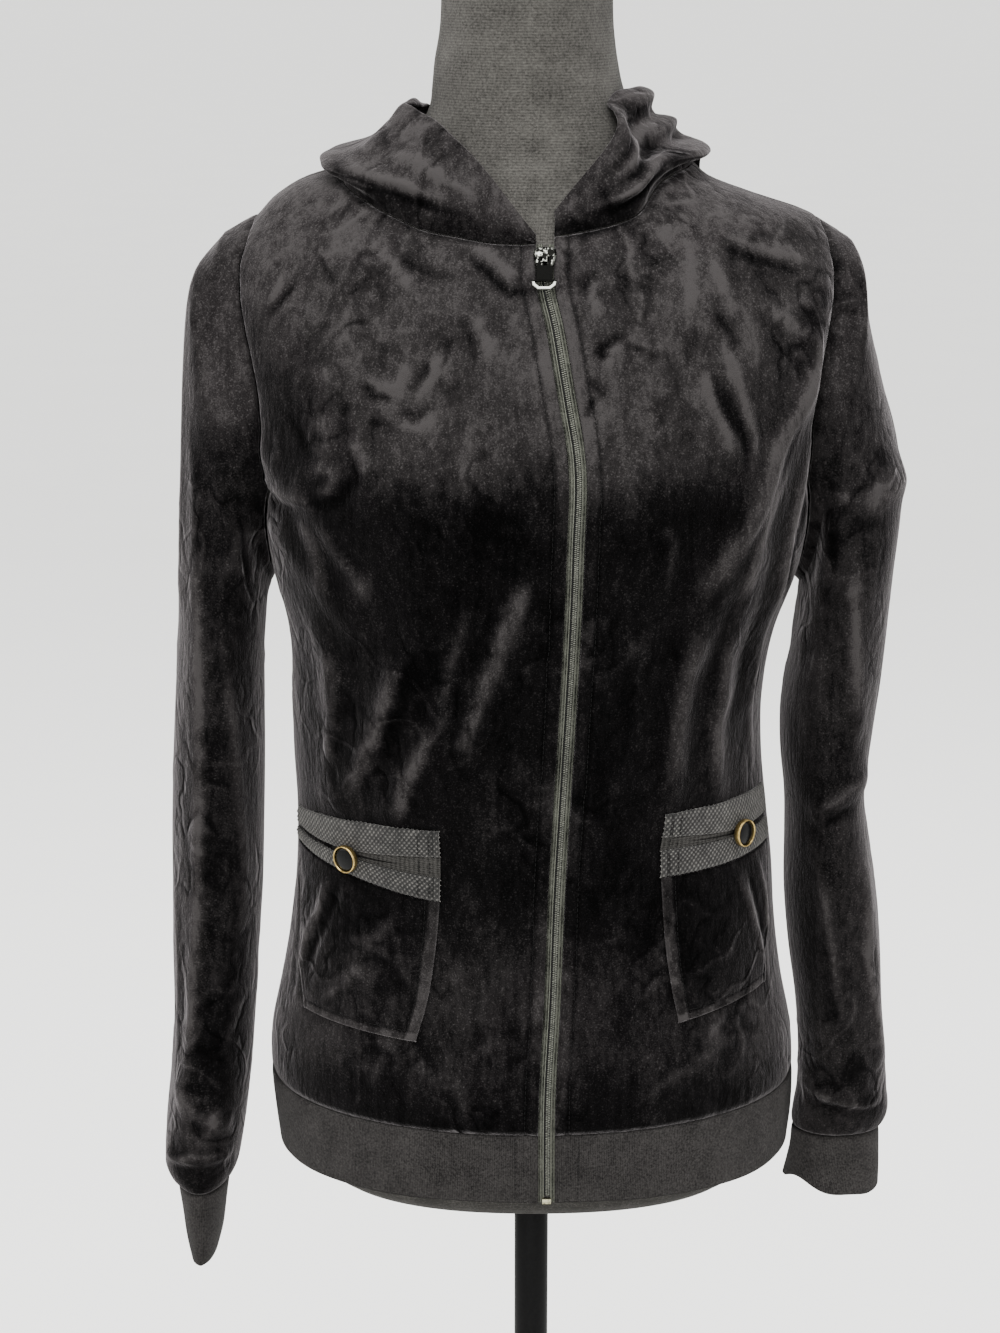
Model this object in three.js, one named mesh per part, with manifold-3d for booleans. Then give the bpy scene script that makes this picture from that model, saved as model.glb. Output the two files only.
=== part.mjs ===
// Zip up hoodie in black velour on a limbless dress form. Millimetres, +Z up.
// The wearer's left is +X, the garment's front faces -Y, the origin is under the base's centre.
import * as THREE from 'three';
import Module from 'manifold-3d';

// Driving sizes
const VELOUR = 2.0;            // velour wall
const KNIT = 2.6;              // hem band and cuff wall
const SEAM_GAP = 0.3;          // between two pieces at a seam
const ZIP_HALF = 5.3;          // half of the width the open zip shows
const TAPE_THICK = 1.0;
const COIL_HALF = 1.7;
const COIL_RISE = 1.3;
const HEM_SEAM_Z = 786;
const BAND_END_Z = 737;
const ARMPIT_Z = 1112;
const TRIM_RISE = 2.6;         // braid above the panel
const PATCH_RISE = 1.9;
const STRIP_RISE = 1.1;
const BUTTON_RADIUS = 8.6;
const BUTTON_HEIGHT = 4.6;
const FORM_END_Z = 712;
const NECK_TOP_Z = 1464;
const CAP_HEIGHT = 6;
const POLE_RADIUS = 11;
const BASE_RADIUS = 155;
const BASE_HEIGHT = 10;

// Body sections: half widths and depths of the cloth's outer face, middle of the depth, roundness
const BODY = [
  // z, right, left, front, back, middle, power
  [712, 162, 166, 96, 114, 10, 2.3],
  [737, 164, 166.5, 101, 118, 10, 2.3],
  [760, 166.5, 168.5, 105, 121, 10, 2.2],
  [786, 168.5, 168.5, 108, 122, 10, 2.1],
  [811, 168, 167, 108, 120, 10, 2.1],
  [850, 160, 159.5, 105, 112, 9, 2.1],
  [896, 152, 153.5, 102, 98, 8, 2.1],
  [928, 149, 151, 101, 90, 7, 2.1],
  [965, 148, 146.5, 102, 86, 6, 2.1],
  [1002, 149.5, 142.5, 105, 88, 5, 2.1],
  [1040, 149.5, 141.5, 110, 93, 4, 2.15],
  [1082, 150.5, 147.5, 116, 100, 3, 2.2],
  [1118, 159, 160, 120, 105, 2, 2.2],
  [1150, 166, 168, 122, 108, 2, 2.2],
  [1190, 172, 174, 121, 109, 2, 2.2],
  [1230, 177, 179, 114, 108, 2, 2.2],
  [1265, 181, 183, 103, 104, 3, 2.2],
  [1290, 183, 185, 92, 98, 4, 2.15],
  [1308, 181, 183, 82, 92, 5, 2.1],
  [1321, 173, 176, 73, 86, 6, 2.1],
  [1331, 163, 163, 67, 80, 6, 2.05],
  [1342, 152, 130, 61, 73, 7, 2.0],
  [1351, 136, 104.5, 57, 69, 7, 2.0],
  [1361, 103, 92, 54, 66, 8, 2.0],
  [1368, 87, 80, 51, 64.5, 8, 2.0],
  [1376, 76, 72, 49, 63, 8, 2.0],
  [1393, 64, 58, 46.5, 62, 8, 2.0],
  [1404, 62.4, 53.5, 45.8, 61.5, 8, 2.0],
  [1418, 61, 50.4, 45.2, 61, 8, 2.0],
  [1435, 58.2, 48.2, 45, 61, 8, 2.0],
  [1466, 57, 47.5, 45, 61, 8, 2.0],
];

const BUST = [
  // centre x, centre z, depth, half width, half height
  [76, 1180, 8, 52, 48],
  [-76, 1176, 8, 52, 48],
];

// Zip path
const ZIP_PATH = [
  // z, x
  [700, 8], [737, 8], [810, 8], [874, 11], [937, 13], [1000, 16], [1063, 19], [1114, 21],
  [1153, 22], [1210, 22], [1233, 18], [1256, 14], [1278, 10], [1299, 5], [1325, 5], [1400, 5],
];

// Large folds of the body cloth as soft ridges (or troughs, below zero)
const BODY_FOLDS = [
  // start angle, start z, end angle, end z, half width, height
  [-49, 990, -31, 1069, 13, 3.6],
  [-31, 1069, -24, 1112, 13, 2.6],
  [-34, 990, -21, 1045, 11, 3.4],
  [-25, 990, -14, 1050, 11, 3.0],
  [-14, 1050, -2, 1130, 13, 1.6],
  [-53, 1092, -50, 1056, 14, 3.2],
  [-50, 1056, -55, 992, 14, 2.6],
  [-66, 1172, -48, 1140, 14, -2.2],
  [-62, 1196, -44, 1168, 13, 2.8],
  [-60, 1150, -42, 1108, 13, 2.6],
  [-39, 1268, -20, 1227, 16, -1.8],
  [-48, 1305, -40, 1284, 15, -2.0],
  [61, 1290, 57, 1234, 13, 3.0],
  [57, 1234, 43, 1166, 13, 3.4],
  [43, 1166, 40, 1130, 13, 2.6],
  [48, 1140, 47, 1057, 12, 3.4],
  [47, 1057, 48, 1000, 12, 3.0],
  [59, 1135, 60, 1050, 12, 2.8],
  [41, 1143, 36, 1090, 12, 2.8],
  [36, 1090, 34, 1000, 12, 3.4],
  [31, 1280, 42, 1200, 14, 2.0],
  [28, 1330, 27, 1290, 14, 1.6],
  [-30, 830, -12, 812, 14, 1.4],
  [40, 835, 20, 812, 14, 1.4],
  [160, 1180, 152, 1060, 15, 2.4],
  [-158, 1170, -150, 1050, 15, 2.6],
  [120, 1130, 132, 1020, 14, 2.8],
  [-122, 1120, -134, 1010, 14, 2.6],
  [176, 1040, 170, 930, 15, 2.0],
  [-140, 960, -120, 900, 15, 2.0],
  [136, 950, 118, 890, 15, 2.2],
];

// Column angles of a front panel at the pocket: zip edge first, side seam last
const FRONT_SHARES = [0, 0.34, 0.67, 1, 1.16, 1.33, 1.5, 1.67, 1.84, 2, 2.5, 3];
const POCKET_EDGES = {
  // z, angle of the pocket's inner edge, angle of its outer edge
  right: [[786, 27, 58], [843, 26, 60], [870, 24, 65], [908, 22.5, 71], [933, 22, 75], [985, 22, 75],
    [1112, 23, 72]],
  left: [[786, 33, 62], [852, 32.5, 65], [881, 31, 68], [913, 30, 72], [946, 30, 75], [985, 32, 75],
    [1112, 31, 73]],
};
const ROWS = {
  // z at the zip, pocket's inner edge, pocket's middle, pocket's outer edge, side seam
  right: [
    [786, 786, 786, 786, 786], [814, 813, 814, 815, 814], [847, 843, 844, 845, 845],
    [870, 866, 867, 868, 868],
    [892, 889, 891, 892, 891], [914, 911, 916, 920, 916], [938, 933, 941.5, 948, 941],
    [951, 948.7, 953, 955.5, 953],
    [963, 961.6, 956.6, 958.8, 965], [980, 979, 976.5, 970.5, 982], [1005, 1004, 1004, 1000, 1006],
    [1030, 1030, 1030, 1030, 1030], [1056, 1056, 1056, 1056, 1056], [1084, 1084, 1084, 1084, 1084],
    [1112, 1112, 1112, 1112, 1112],
  ],
  left: [
    [786, 786, 786, 786, 786], [814, 816, 818, 819, 814], [847, 852, 856, 859, 845],
    [870, 874, 877, 880, 868],
    [892, 897, 899, 901, 891], [914, 921, 923, 925, 916], [938, 946, 947, 948.5, 941],
    [951, 964, 962.6, 962.5, 953],
    [963, 971.6, 966.4, 966.2, 965], [980, 987, 986.5, 985, 982], [1005, 1008, 1008, 1008, 1006],
    [1030, 1031, 1031, 1031, 1030], [1056, 1056, 1056, 1056, 1056], [1084, 1084, 1084, 1084, 1084],
    [1112, 1112, 1112, 1112, 1112],
  ],
};
// Rows beside the armhole and over the shoulder
const UPPER_ROWS = [
  // z at the side, z at the zip, z at the centre back, front armhole angle, back armhole angle
  [1121, 1121, 1122, 82, 98],
  [1140, 1138, 1141, 75, 104.5],
  [1168, 1165, 1170, 68.5, 110],
  [1196, 1191, 1199, 65, 113],
  [1224, 1216, 1228, 63.5, 114],
  [1251, 1240, 1256, 65, 113.5],
  [1277, 1262, 1283, 68, 112],
  [1300, 1280, 1308, 70, 109],
  [1315, 1293, 1325, 72, 106],
  [1325, 1302, 1337, 79, 100],
  [1331, 1308, 1346, 90, 90],
  [1346, 1314, 1360, 90, 90],
  [1361, 1321, 1374, 90, 90],
];
// Share of the climb from the zip's end to the shoulder, along the neckline
const NECK_CLIMB = {
  right: [[0, 0], [0.11, 0.02], [0.18, 0.1], [0.27, 0.2], [0.36, 0.38], [0.54, 0.67], [0.8, 0.91], [1, 1]],
  left: [[0, 0.1], [0.1, 0.2], [0.19, 0.32], [0.34, 0.6], [0.6, 0.88], [0.8, 0.95], [1, 1]],
  back: [[0, 0], [0.3, 0.3], [0.6, 0.72], [0.85, 0.97], [1, 1]],
};

// Sleeve rings
const SLEEVES = {
  // outer x, outer z, inner x, inner z, front y, back y, roundness
  right: [
    [184, 1319, 161, 1107.5, -54, 57, 2.2], [197, 1302, 162.5, 1102, -54, 59, 2.3],
    [202.5, 1278, 164, 1095, -53, 60, 2.3],
    [207.5, 1235, 165, 1086, -51, 60, 2.2], [212, 1180, 166, 1075, -49, 59, 2.2],
    [216, 1120, 167, 1060, -47, 57, 2.1],
    [220.5, 1056, 167.5, 1034, -46, 56, 2.1], [224.5, 1002, 168, 998, -45, 54, 2.1],
    [227, 952, 169.5, 952, -43, 52, 2.1],
    [228, 908, 171.5, 908, -42, 50, 2.1], [229, 868, 175, 868, -41, 47, 2.1],
    [230, 828, 177.5, 828, -40, 45, 2.1],
    [232.5, 790, 181, 790, -38, 42, 2.1], [236, 756, 185.5, 756, -37, 39, 2.1],
    [238.5, 733, 189, 733, -36, 37, 2.1],
    [238, 718, 192, 718, -34.5, 35.5, 2.1], [232, 707.5, 197, 707.5, -33, 34, 2.1],
  ],
  left: [
    [184, 1318, 163, 1107.5, -54, 57, 2.2], [190, 1307, 164, 1101, -54, 59, 2.2],
    [196, 1278, 164, 1093, -53, 60, 2.2],
    [207, 1238, 163.5, 1083, -51, 60, 2.2], [219, 1196, 161.5, 1072, -49, 59, 2.2],
    [223.5, 1162, 160, 1058, -48, 57, 2.1],
    [219.5, 1112, 157, 1042, -47, 56, 2.1], [216, 1062, 155, 1022, -46, 55, 2.1],
    [211, 1012, 155.5, 998, -45, 53, 2.1],
    [207.5, 974, 159, 968, -44, 52, 2.1], [212, 940, 160, 940, -43, 51, 2.1],
    [218, 904, 160.5, 904, -42, 49, 2.1],
    [221.5, 868, 164, 868, -41, 47, 2.1], [224, 832, 169.5, 832, -39, 44, 2.1],
    [227.5, 798, 172.5, 798, -35, 40, 2.1],
    [230, 771, 172.5, 771, -30, 34, 2.1], [231.5, 756, 170.5, 756, -26, 30, 2.1],
    [227.5, 743.5, 169, 743.5, -21.5, 25, 2.1],
  ],
};
const CUFFS = {
  right: [
    [231.5, 707, 197.5, 707, -32.5, 33.5, 2], [229, 689, 200.3, 689, -32, 33, 2],
    [226.7, 671, 203, 671, -31, 32, 2], [223, 654, 207, 656, -29.5, 30.5, 2],
  ],
  left: [
    [226.7, 743, 170, 743, -21, 24.5, 2], [227, 728, 169, 729, -20, 23, 2],
    [227.3, 713, 167, 719, -20, 23, 2], [227.3, 698, 164.5, 709, -21, 24, 2],
  ],
};
const SLEEVE_FOLDS = {
  // start turn, start ring, end turn, end ring, half width, height
  right: [
    [60, 4.5, 78, 9, 11, 2.6], [78, 9, 62, 13.5, 11, 2.6], [20, 2, 34, 6, 12, 2.2],
    [50, 13.2, 120, 13.9, 9, 2.6],
    [40, 15, 130, 14.9, 8, 2.4], [250, 5, 280, 10, 12, 2.4], [310, 8, 290, 13, 12, 2.2],
    [100, 6, 130, 10, 12, 2.2],
  ],
  left: [
    [20, 5.6, 80, 4.2, 11, 3.2], [100, 5, 70, 8.5, 11, 3.0], [40, 9.6, 110, 9.9, 10, 2.8],
    [50, 11.5, 40, 14.8, 11, 2.6],
    [110, 11, 96, 14, 11, 2.2], [60, 16, 150, 15.6, 8, 2.2], [250, 6, 285, 10.5, 12, 2.6],
    [300, 9, 260, 13, 12, 2.4],
  ],
};
const ARMHOLE_RINGS = 5;   // rings over which the armhole's own outline fades out

// Hood profiles from the neckline seam to the face edge, as outward and upward distances
const HOOD = {
  right: {
    0: [[0, 0], [0, 5]],
    9: [[0, 0], [1, 12], [-1, 24], [-6, 36]],
    22: [[0, 0], [1, 10], [0, 20], [-4, 30], [-11, 42], [-22, 53]],
    40: [[0, 0], [0.5, 3.5], [1.5, 5.5], [2.5, 6.5], [3.5, 7.5], [4, 9], [3.5, 11], [2.5, 13], [0.5, 15],
      [-3, 17.5], [-8, 21], [-13, 26], [-18, 32], [-24, 39], [-29, 46], [-33, 51]],
    60: [[0, 0], [0.5, 4], [2, 5.5], [4, 5.5], [6, 5], [8, 5], [10, 5.2], [11.5, 7], [8.5, 9.5], [2, 11.5],
      [-5, 14.5], [-12, 19], [-20, 26], [-28, 34], [-34, 41], [-38.5, 43]],
    90: [[0, 0], [1, 5], [5, 5.7], [9, 4.7], [13, 3.7], [17, 3], [20, 2.6], [23, 3.8], [19, 7], [10, 9.5],
      [0, 12.5], [-9, 17], [-18, 25], [-26, 33], [-32, 36.5], [-37, 32]],
    110: [[0, 0], [1, 5.5], [6, 5], [11, 3.5], [15, 2], [19, 0.5], [23, -1], [26, -1.7], [25, 2], [19, 5],
      [10, 8], [1, 12], [-7, 17], [-15, 24], [-21, 29], [-27, 30]],
    135: [[0, 0], [2, 6], [7, 5], [14, -5], [22, -15], [31, -28], [41, -42], [48, -54], [55, -53],
      [57, -42], [54, -29], [46, -14], [34, 0], [21, 10], [8, 17], [-5, 22]],
    160: [[0, 0], [2, 7], [8, 6.5], [17, -17], [28, -45], [39, -78], [48, -112], [54, -142], [61, -144],
      [66, -131], [67, -104], [64, -72], [56, -42], [44, -16], [30, 4], [15, 17]],
    180: [[0, 0], [2, 7], [9, 5.5], [18, -28], [32, -65], [43, -105], [50, -150], [54, -190], [61, -196],
      [68, -184], [70, -150], [68, -108], [63, -70], [56, -36], [46, -6], [34, 16]],
  },
  left: {
    0: [[0, 0], [0, 4]],
    9: [[0, 0], [1, 10], [-1, 20], [-5, 29]],
    22: [[0, 0], [2, 7], [3, 14], [0, 20], [-4, 28], [-7, 38], [-16, 48]],
    40: [[0, 0], [0.5, 3.5], [1.5, 5.5], [3, 6.5], [4.5, 7.5], [5.5, 9], [5.5, 11.5], [4, 14], [1, 16],
      [-3, 18], [-9, 20], [-13, 25], [-17, 31], [-19, 39], [-25, 45], [-35, 49]],
    60: [[0, 0], [0.5, 4], [2, 5.5], [3.5, 5.7], [5, 5.8], [6.5, 6], [8, 6.5], [9.5, 8.5], [6.5, 11.5],
      [-1, 13.5], [-8, 17], [-11, 24], [-20, 29], [-20, 39], [-27.5, 45], [-35.5, 46]],
    90: [[0, 0], [0.5, 5], [2, 6], [3.8, 5.6], [5.5, 5.2], [7, 4.8], [8.5, 4.6], [12, 5.5], [10.5, 9],
      [2, 12], [-10, 13.5], [-8, 24.5], [-22, 28.5], [-21, 38.5], [-28.5, 42.5], [-37, 41]],
    110: [[0, 0], [0.5, 5.5], [3.5, 5.5], [7, 4.2], [10, 2.6], [13, 1], [16, -0.5], [19.5, -0.5],
      [18, 3.5], [12, 7], [6, 12], [0, 17], [-8, 21], [-14, 28], [-21, 33], [-29, 35]],
    135: [[0, 0], [2, 6], [7, 5], [14, -5], [21, -15], [29, -28], [37, -41], [43, -52], [50, -52],
      [53, -42], [50, -29], [43, -14], [32, 0], [20, 11], [8, 19], [-5, 25]],
    160: [[0, 0], [2, 7], [8, 6.5], [17, -17], [28, -45], [39, -78], [48, -112], [54, -142], [61, -144],
      [66, -131], [67, -104], [64, -72], [56, -42], [44, -16], [30, 5], [15, 18]],
    180: [[0, 0], [2, 7], [9, 5.5], [18, -28], [32, -65], [43, -105], [50, -150], [54, -190], [61, -196],
      [68, -184], [70, -150], [68, -108], [63, -70], [56, -36], [46, -6], [34, 16]],
  },
};
const HOOD_STEPS = [0, 1, 2, 3, 4.5, 6, 6.7, 7.3, 8, 9, 10, 11, 12, 13, 14, 15];

// Form: distance from the cloth's outer face
const FORM_ROOM = [
  // z, room
  [770, 9], [786, 8], [850, 7], [930, 5.5], [1000, 5], [1112, 5], [1200, 5.2], [1290, 5], [1331, 4.6],
  [1361, 4.2],
  [1376, 3.4], [1470, 3.2],
];
const FORM_END = [
  // z, share of the full section
  [768, 0.96], [752, 0.955], [738, 0.945], [727, 0.92], [719, 0.875], [714, 0.8], [FORM_END_Z, 0.7],
];

const COLOURS = {
  velour: 0x2b282b, knit: 0x1d1c1e, braid: 0x4a4643, strip: 0x3c3b39, tape: 0x50544e, coil: 0x141414,
  nickel: 0xb9bab6, brass: 0xa98645, black: 0x0c0c0c, jersey: 0x3b393b, base: 0x1a1a1a,
};

const toolkit = await Module();
toolkit.setup();
const { Manifold, Mesh: Solid } = toolkit;

const { sin, cos, abs, min, max, hypot, sign, PI } = Math;
const rad = (degrees) => degrees * PI / 180;
const mix = (a, b, t) => a + (b - a) * t;
const add = (p, q, k = 1) => [p[0] + q[0] * k, p[1] + q[1] * k, p[2] + q[2] * k];
const sub = (p, q) => add(p, q, -1);
const cross = (p, q) => [p[1] * q[2] - p[2] * q[1], p[2] * q[0] - p[0] * q[2], p[0] * q[1] - p[1] * q[0]];
const length = (p) => hypot(p[0], p[1], p[2]);
const unit = (p) => {
  const size = length(p) || 1;
  return [p[0] / size, p[1] / size, p[2] / size];
};

// Smooth reading of a table column at a value of its first column
function read(table, at, column = 1) {
  const last = table.length - 1;
  const x = min(max(at, table[0][0]), table[last][0]);
  let i = 0;
  while (i < last - 1 && table[i + 1][0] < x) i += 1;
  const slope = (k) => (table[k + 1][column] - table[k][column]) / (table[k + 1][0] - table[k][0]);
  const step = (k) => table[k + 1][0] - table[k][0];
  const tangent = (k) => {
    if (k === 0) return slope(0);
    if (k === last) return slope(last - 1);
    return (slope(k - 1) * step(k) + slope(k) * step(k - 1)) / (step(k - 1) + step(k));
  };
  const h = step(i);
  const t = (x - table[i][0]) / h;
  return (1 + 2 * t) * (1 - t) ** 2 * table[i][column] + t * (1 - t) ** 2 * h * tangent(i)
    + t * t * (3 - 2 * t) * table[i + 1][column] + t * t * (t - 1) * h * tangent(i + 1);
}

// Height of soft ridges at a place on a surface; the scales turn its two units into millimetres
function ridges(folds, a, b, scaleA, scaleB) {
  let height = 0;
  for (const [a0, b0, a1, b1, width, rise] of folds) {
    const along = [(a1 - a0) * scaleA, (b1 - b0) * scaleB];
    const from = [(a - a0) * scaleA, (b - b0) * scaleB];
    const square = along[0] ** 2 + along[1] ** 2;
    const t = min(max((from[0] * along[0] + from[1] * along[1]) / square, 0), 1);
    const away = hypot(from[0] - along[0] * t, from[1] - along[1] * t);
    height += rise * Math.exp(-((away / width) ** 2));
  }
  return height;
}

// Cloth's outer face: angle from the centre front (left is above zero) and z
function smoothBody(angle, z) {
  const s = sin(rad(angle));
  const c = cos(rad(angle));
  const power = read(BODY, z, 6);
  const middle = read(BODY, z, 5);
  const width = read(BODY, z, s > 0 ? 2 : 1);
  const depth = c > 0 ? read(BODY, z, 3) + middle : read(BODY, z, 4) - middle;
  const round = (abs(s) ** power + abs(c) ** power) ** (-1 / power);
  const point = [width * s * round, middle - depth * c * round, z];
  for (const [x, bz, rise, half, tall] of BUST) {
    const share = min(max(c * 3, 0), 1);
    point[1] -= share * rise * Math.exp(-(((point[0] - x) / half) ** 2) - ((z - bz) / tall) ** 2);
  }
  return point;
}

function normalOf(surface, a, b, da, db) {
  const across = sub(surface(a + da, b), surface(a - da, b));
  const along = sub(surface(a, b + db), surface(a, b - db));
  return unit(cross(across, along));
}

const smoothNormal = (angle, z) => normalOf(smoothBody, angle, z, 0.5, 1);

function body(angle, z) {
  const height = ridges(BODY_FOLDS, angle > 180 ? angle - 360 : angle, z, 2.6, 1);
  return add(smoothBody(angle, z), smoothNormal(angle, z), height);
}

const bodyNormal = (angle, z) => normalOf(body, angle, z, 0.8, 2);

// Angle at which the cloth lies at x, on the front
function angleAt(x, z) {
  let low = -60;
  let high = 60;
  for (let turn = 0; turn < 40; turn += 1) {
    const middle = (low + high) / 2;
    if (smoothBody(middle, z)[0] < x) low = middle;
    else high = middle;
  }
  return (low + high) / 2;
}

// Angle that moves a body point sideways by a distance
function angleFor(distance, angle, z) {
  return distance / length(sub(smoothBody(angle + 0.5, z), smoothBody(angle - 0.5, z)));
}

const material = (name) => new THREE.MeshStandardMaterial({
  name,
  color: COLOURS[name],
  roughness: ['nickel', 'brass', 'black'].includes(name) ? 0.3 : 0.9,
  metalness: ['nickel', 'brass'].includes(name) ? 1 : 0,
});

const part = new THREE.Group();
part.name = 'zip_up_hoodie_on_dress_form';

// Adds a mesh from points and triangles, turned to face outward
function addMesh(name, points, faces, look) {
  let volume = 0;
  for (const [a, b, c] of faces) {
    const [p, q, r] = [points[a], points[b], points[c]];
    const turn = cross(q, r);
    volume += p[0] * turn[0] + p[1] * turn[1] + p[2] * turn[2];
  }
  const index = volume < 0 ? faces.flatMap(([a, b, c]) => [a, c, b]) : faces.flat();
  const geometry = new THREE.BufferGeometry();
  geometry.setAttribute('position', new THREE.Float32BufferAttribute(points.flat(), 3));
  geometry.setIndex(index);
  geometry.computeVertexNormals();
  const mesh = new THREE.Mesh(geometry, material(look));
  mesh.name = name;
  part.add(mesh);
  return mesh;
}

// Closed wall between two offsets of a grid; the grid's rows close into rings where asked
function addWall(name, columns, rows, place, from, to, look, ring = false) {
  const points = [];
  const faces = [];
  const wide = columns.length;
  const tall = rows.length;
  const number = (layer, i, j) => (layer * tall + j) * wide + (i % wide);
  const grid = rows.map((row) => columns.map((column) => place(column, row)));
  for (const offset of [to, from]) {
    for (const line of grid) {
      for (const spot of line) points.push(add(spot.point, spot.normal, offset));
    }
  }
  const quad = (a, b, c, d) => faces.push([a, b, c], [a, c, d]);
  const spans = ring ? wide : wide - 1;
  for (let j = 0; j < tall - 1; j += 1) {
    for (let i = 0; i < spans; i += 1) {
      quad(number(0, i, j), number(0, i + 1, j), number(0, i + 1, j + 1), number(0, i, j + 1));
      quad(number(1, i, j), number(1, i, j + 1), number(1, i + 1, j + 1), number(1, i + 1, j));
    }
  }
  for (let i = 0; i < spans; i += 1) {
    quad(number(0, i + 1, 0), number(0, i, 0), number(1, i, 0), number(1, i + 1, 0));
    const j = tall - 1;
    quad(number(0, i, j), number(0, i + 1, j), number(1, i + 1, j), number(1, i, j));
  }
  if (!ring) {
    for (let j = 0; j < tall - 1; j += 1) {
      quad(number(0, 0, j), number(0, 0, j + 1), number(1, 0, j + 1), number(1, 0, j));
      const i = wide - 1;
      quad(number(0, i, j + 1), number(0, i, j), number(1, i, j), number(1, i, j + 1));
    }
  }
  return addMesh(name, points, faces, look);
}

// Solid of revolution from radius and height pairs, set on a place with an axis
function addTurned(name, profile, sides, origin, axis, look) {
  const up = unit(axis);
  const across = unit(cross(abs(up[2]) > 0.9 ? [0, 1, 0] : [0, 0, 1], up));
  const third = cross(up, across);
  const points = [];
  const faces = [];
  const rings = profile.map(([radius, height]) => {
    const first = points.length;
    const count = radius === 0 ? 1 : sides;
    for (let k = 0; k < count; k += 1) {
      const turn = 2 * PI * k / sides;
      const flat = add(add(origin, across, radius * cos(turn)), third, radius * sin(turn));
      points.push(add(flat, up, height));
    }
    return { first, count };
  });
  for (let r = 0; r < rings.length - 1; r += 1) {
    const low = rings[r];
    const high = rings[r + 1];
    for (let k = 0; k < sides; k += 1) {
      const next = (k + 1) % sides;
      const a = low.first + (low.count > 1 ? k : 0);
      const b = low.first + (low.count > 1 ? next : 0);
      const c = high.first + (high.count > 1 ? next : 0);
      const d = high.first + (high.count > 1 ? k : 0);
      if (low.count > 1) faces.push([a, b, c]);
      if (high.count > 1) faces.push([a, c, d]);
    }
  }
  return addMesh(name, points, faces, look);
}

const count = (n) => Array.from({ length: n }, (unused, i) => i);

// Front panels
const SIDE_ROWS = ROWS.right.length;
const ALL_ROWS = SIDE_ROWS + UPPER_ROWS.length;
const sideZ = (j) => (j < SIDE_ROWS ? ROWS.right[j][4] : UPPER_ROWS[j - SIDE_ROWS][0]);
const sideSign = (side) => (side === 'left' ? 1 : -1);

function zipAngle(side, z) {
  return angleAt(read(ZIP_PATH, z) + sideSign(side) * ZIP_HALF, z);
}

function frontSpot(side, i, j) {
  const turn = sideSign(side);
  const share = FRONT_SHARES[i];
  const upper = j < SIDE_ROWS ? null : UPPER_ROWS[j - SIDE_ROWS];
  const zipZ = upper ? upper[1] : ROWS[side][j][0];
  const limit = upper ? upper[3] : 90;
  const inner = read(POCKET_EDGES[side], zipZ, 1) * (limit / 90);
  const outer = read(POCKET_EDGES[side], zipZ, 2) * (limit / 90);
  const start = turn * zipAngle(side, zipZ);
  const anchors = [start, inner, outer, limit];
  const cell = min(Math.floor(share), 2);
  let angle = mix(anchors[cell], anchors[cell + 1], share - cell);
  let z;
  if (upper) {
    const reach = (angle - start) / (limit - start);
    z = mix(zipZ, upper[0], read(NECK_CLIMB[side], reach));
    if (i === 11) z = upper[0];
    if (i === 0) angle = turn * zipAngle(side, z);
  } else {
    const heights = ROWS[side][j];
    const stops = [[0, heights[0]], [1, heights[1]], [1.5, heights[2]], [2, heights[3]], [3, heights[4]]];
    z = read(stops, share);
  }
  return { angle: turn * angle, z };
}

function frontPlace(side, i, j) {
  const spot = frontSpot(side, i, j);
  let { angle } = spot;
  const normal = bodyNormal(angle, spot.z);
  if (i === 11) angle -= sideSign(side) * angleFor(SEAM_GAP / 2, angle, spot.z);
  return { point: body(angle, spot.z), normal };
}

for (const side of ['left', 'right']) {
  const place = (i, j) => frontPlace(side, i, j);
  addWall(`front_${side}`, count(12), count(ALL_ROWS), place, -VELOUR, 0, 'velour');
}

// Back panel
const BACK_COLUMNS = 18;

function backSpot(i, j) {
  const upper = j < SIDE_ROWS ? null : UPPER_ROWS[j - SIDE_ROWS];
  const edge = upper ? upper[4] : 90;
  const share = i / BACK_COLUMNS;
  const angle = mix(edge, 360 - edge, share);
  const reach = 1 - abs(2 * share - 1);
  const z = upper ? mix(upper[0], upper[2], read(NECK_CLIMB.back, reach)) : sideZ(j);
  return { angle, z };
}

function backPlace(i, j) {
  const spot = backSpot(i, j);
  let { angle } = spot;
  const normal = bodyNormal(angle, spot.z);
  if (i === 0) angle += angleFor(SEAM_GAP / 2, angle, spot.z);
  if (i === BACK_COLUMNS) angle -= angleFor(SEAM_GAP / 2, angle, spot.z);
  return { point: body(angle, spot.z), normal };
}

addWall('back', count(BACK_COLUMNS + 1), count(ALL_ROWS), backPlace, -VELOUR, 0, 'velour');

// Hem band, from the zip's left side around the back to its right side
const bandAngles = [
  ...count(12).map((i) => frontSpot('left', i, 0).angle),
  ...count(BACK_COLUMNS - 1).map((i) => backSpot(i + 1, 0).angle),
  ...count(12).map((i) => frontSpot('right', 11 - i, 0).angle + 360),
];
const BAND_ROWS = [HEM_SEAM_Z - SEAM_GAP, 772, 754, BAND_END_Z];

function bandPlace(i, z) {
  let angle = bandAngles[i];
  if (i === 0) angle = zipAngle('left', z);
  if (i === bandAngles.length - 1) angle = zipAngle('right', z) + 360;
  return { point: smoothBody(angle, z), normal: smoothNormal(angle, z) };
}

addWall('hem_band', count(bandAngles.length), BAND_ROWS, bandPlace, -KNIT, 0, 'knit');

// Sleeves: each ring runs from its outer point over the front, the inner point and the back
const armRows = count(12).map((k) => SIDE_ROWS - 1 + k);
const RING = 2 * (armRows.length - 1);

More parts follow.
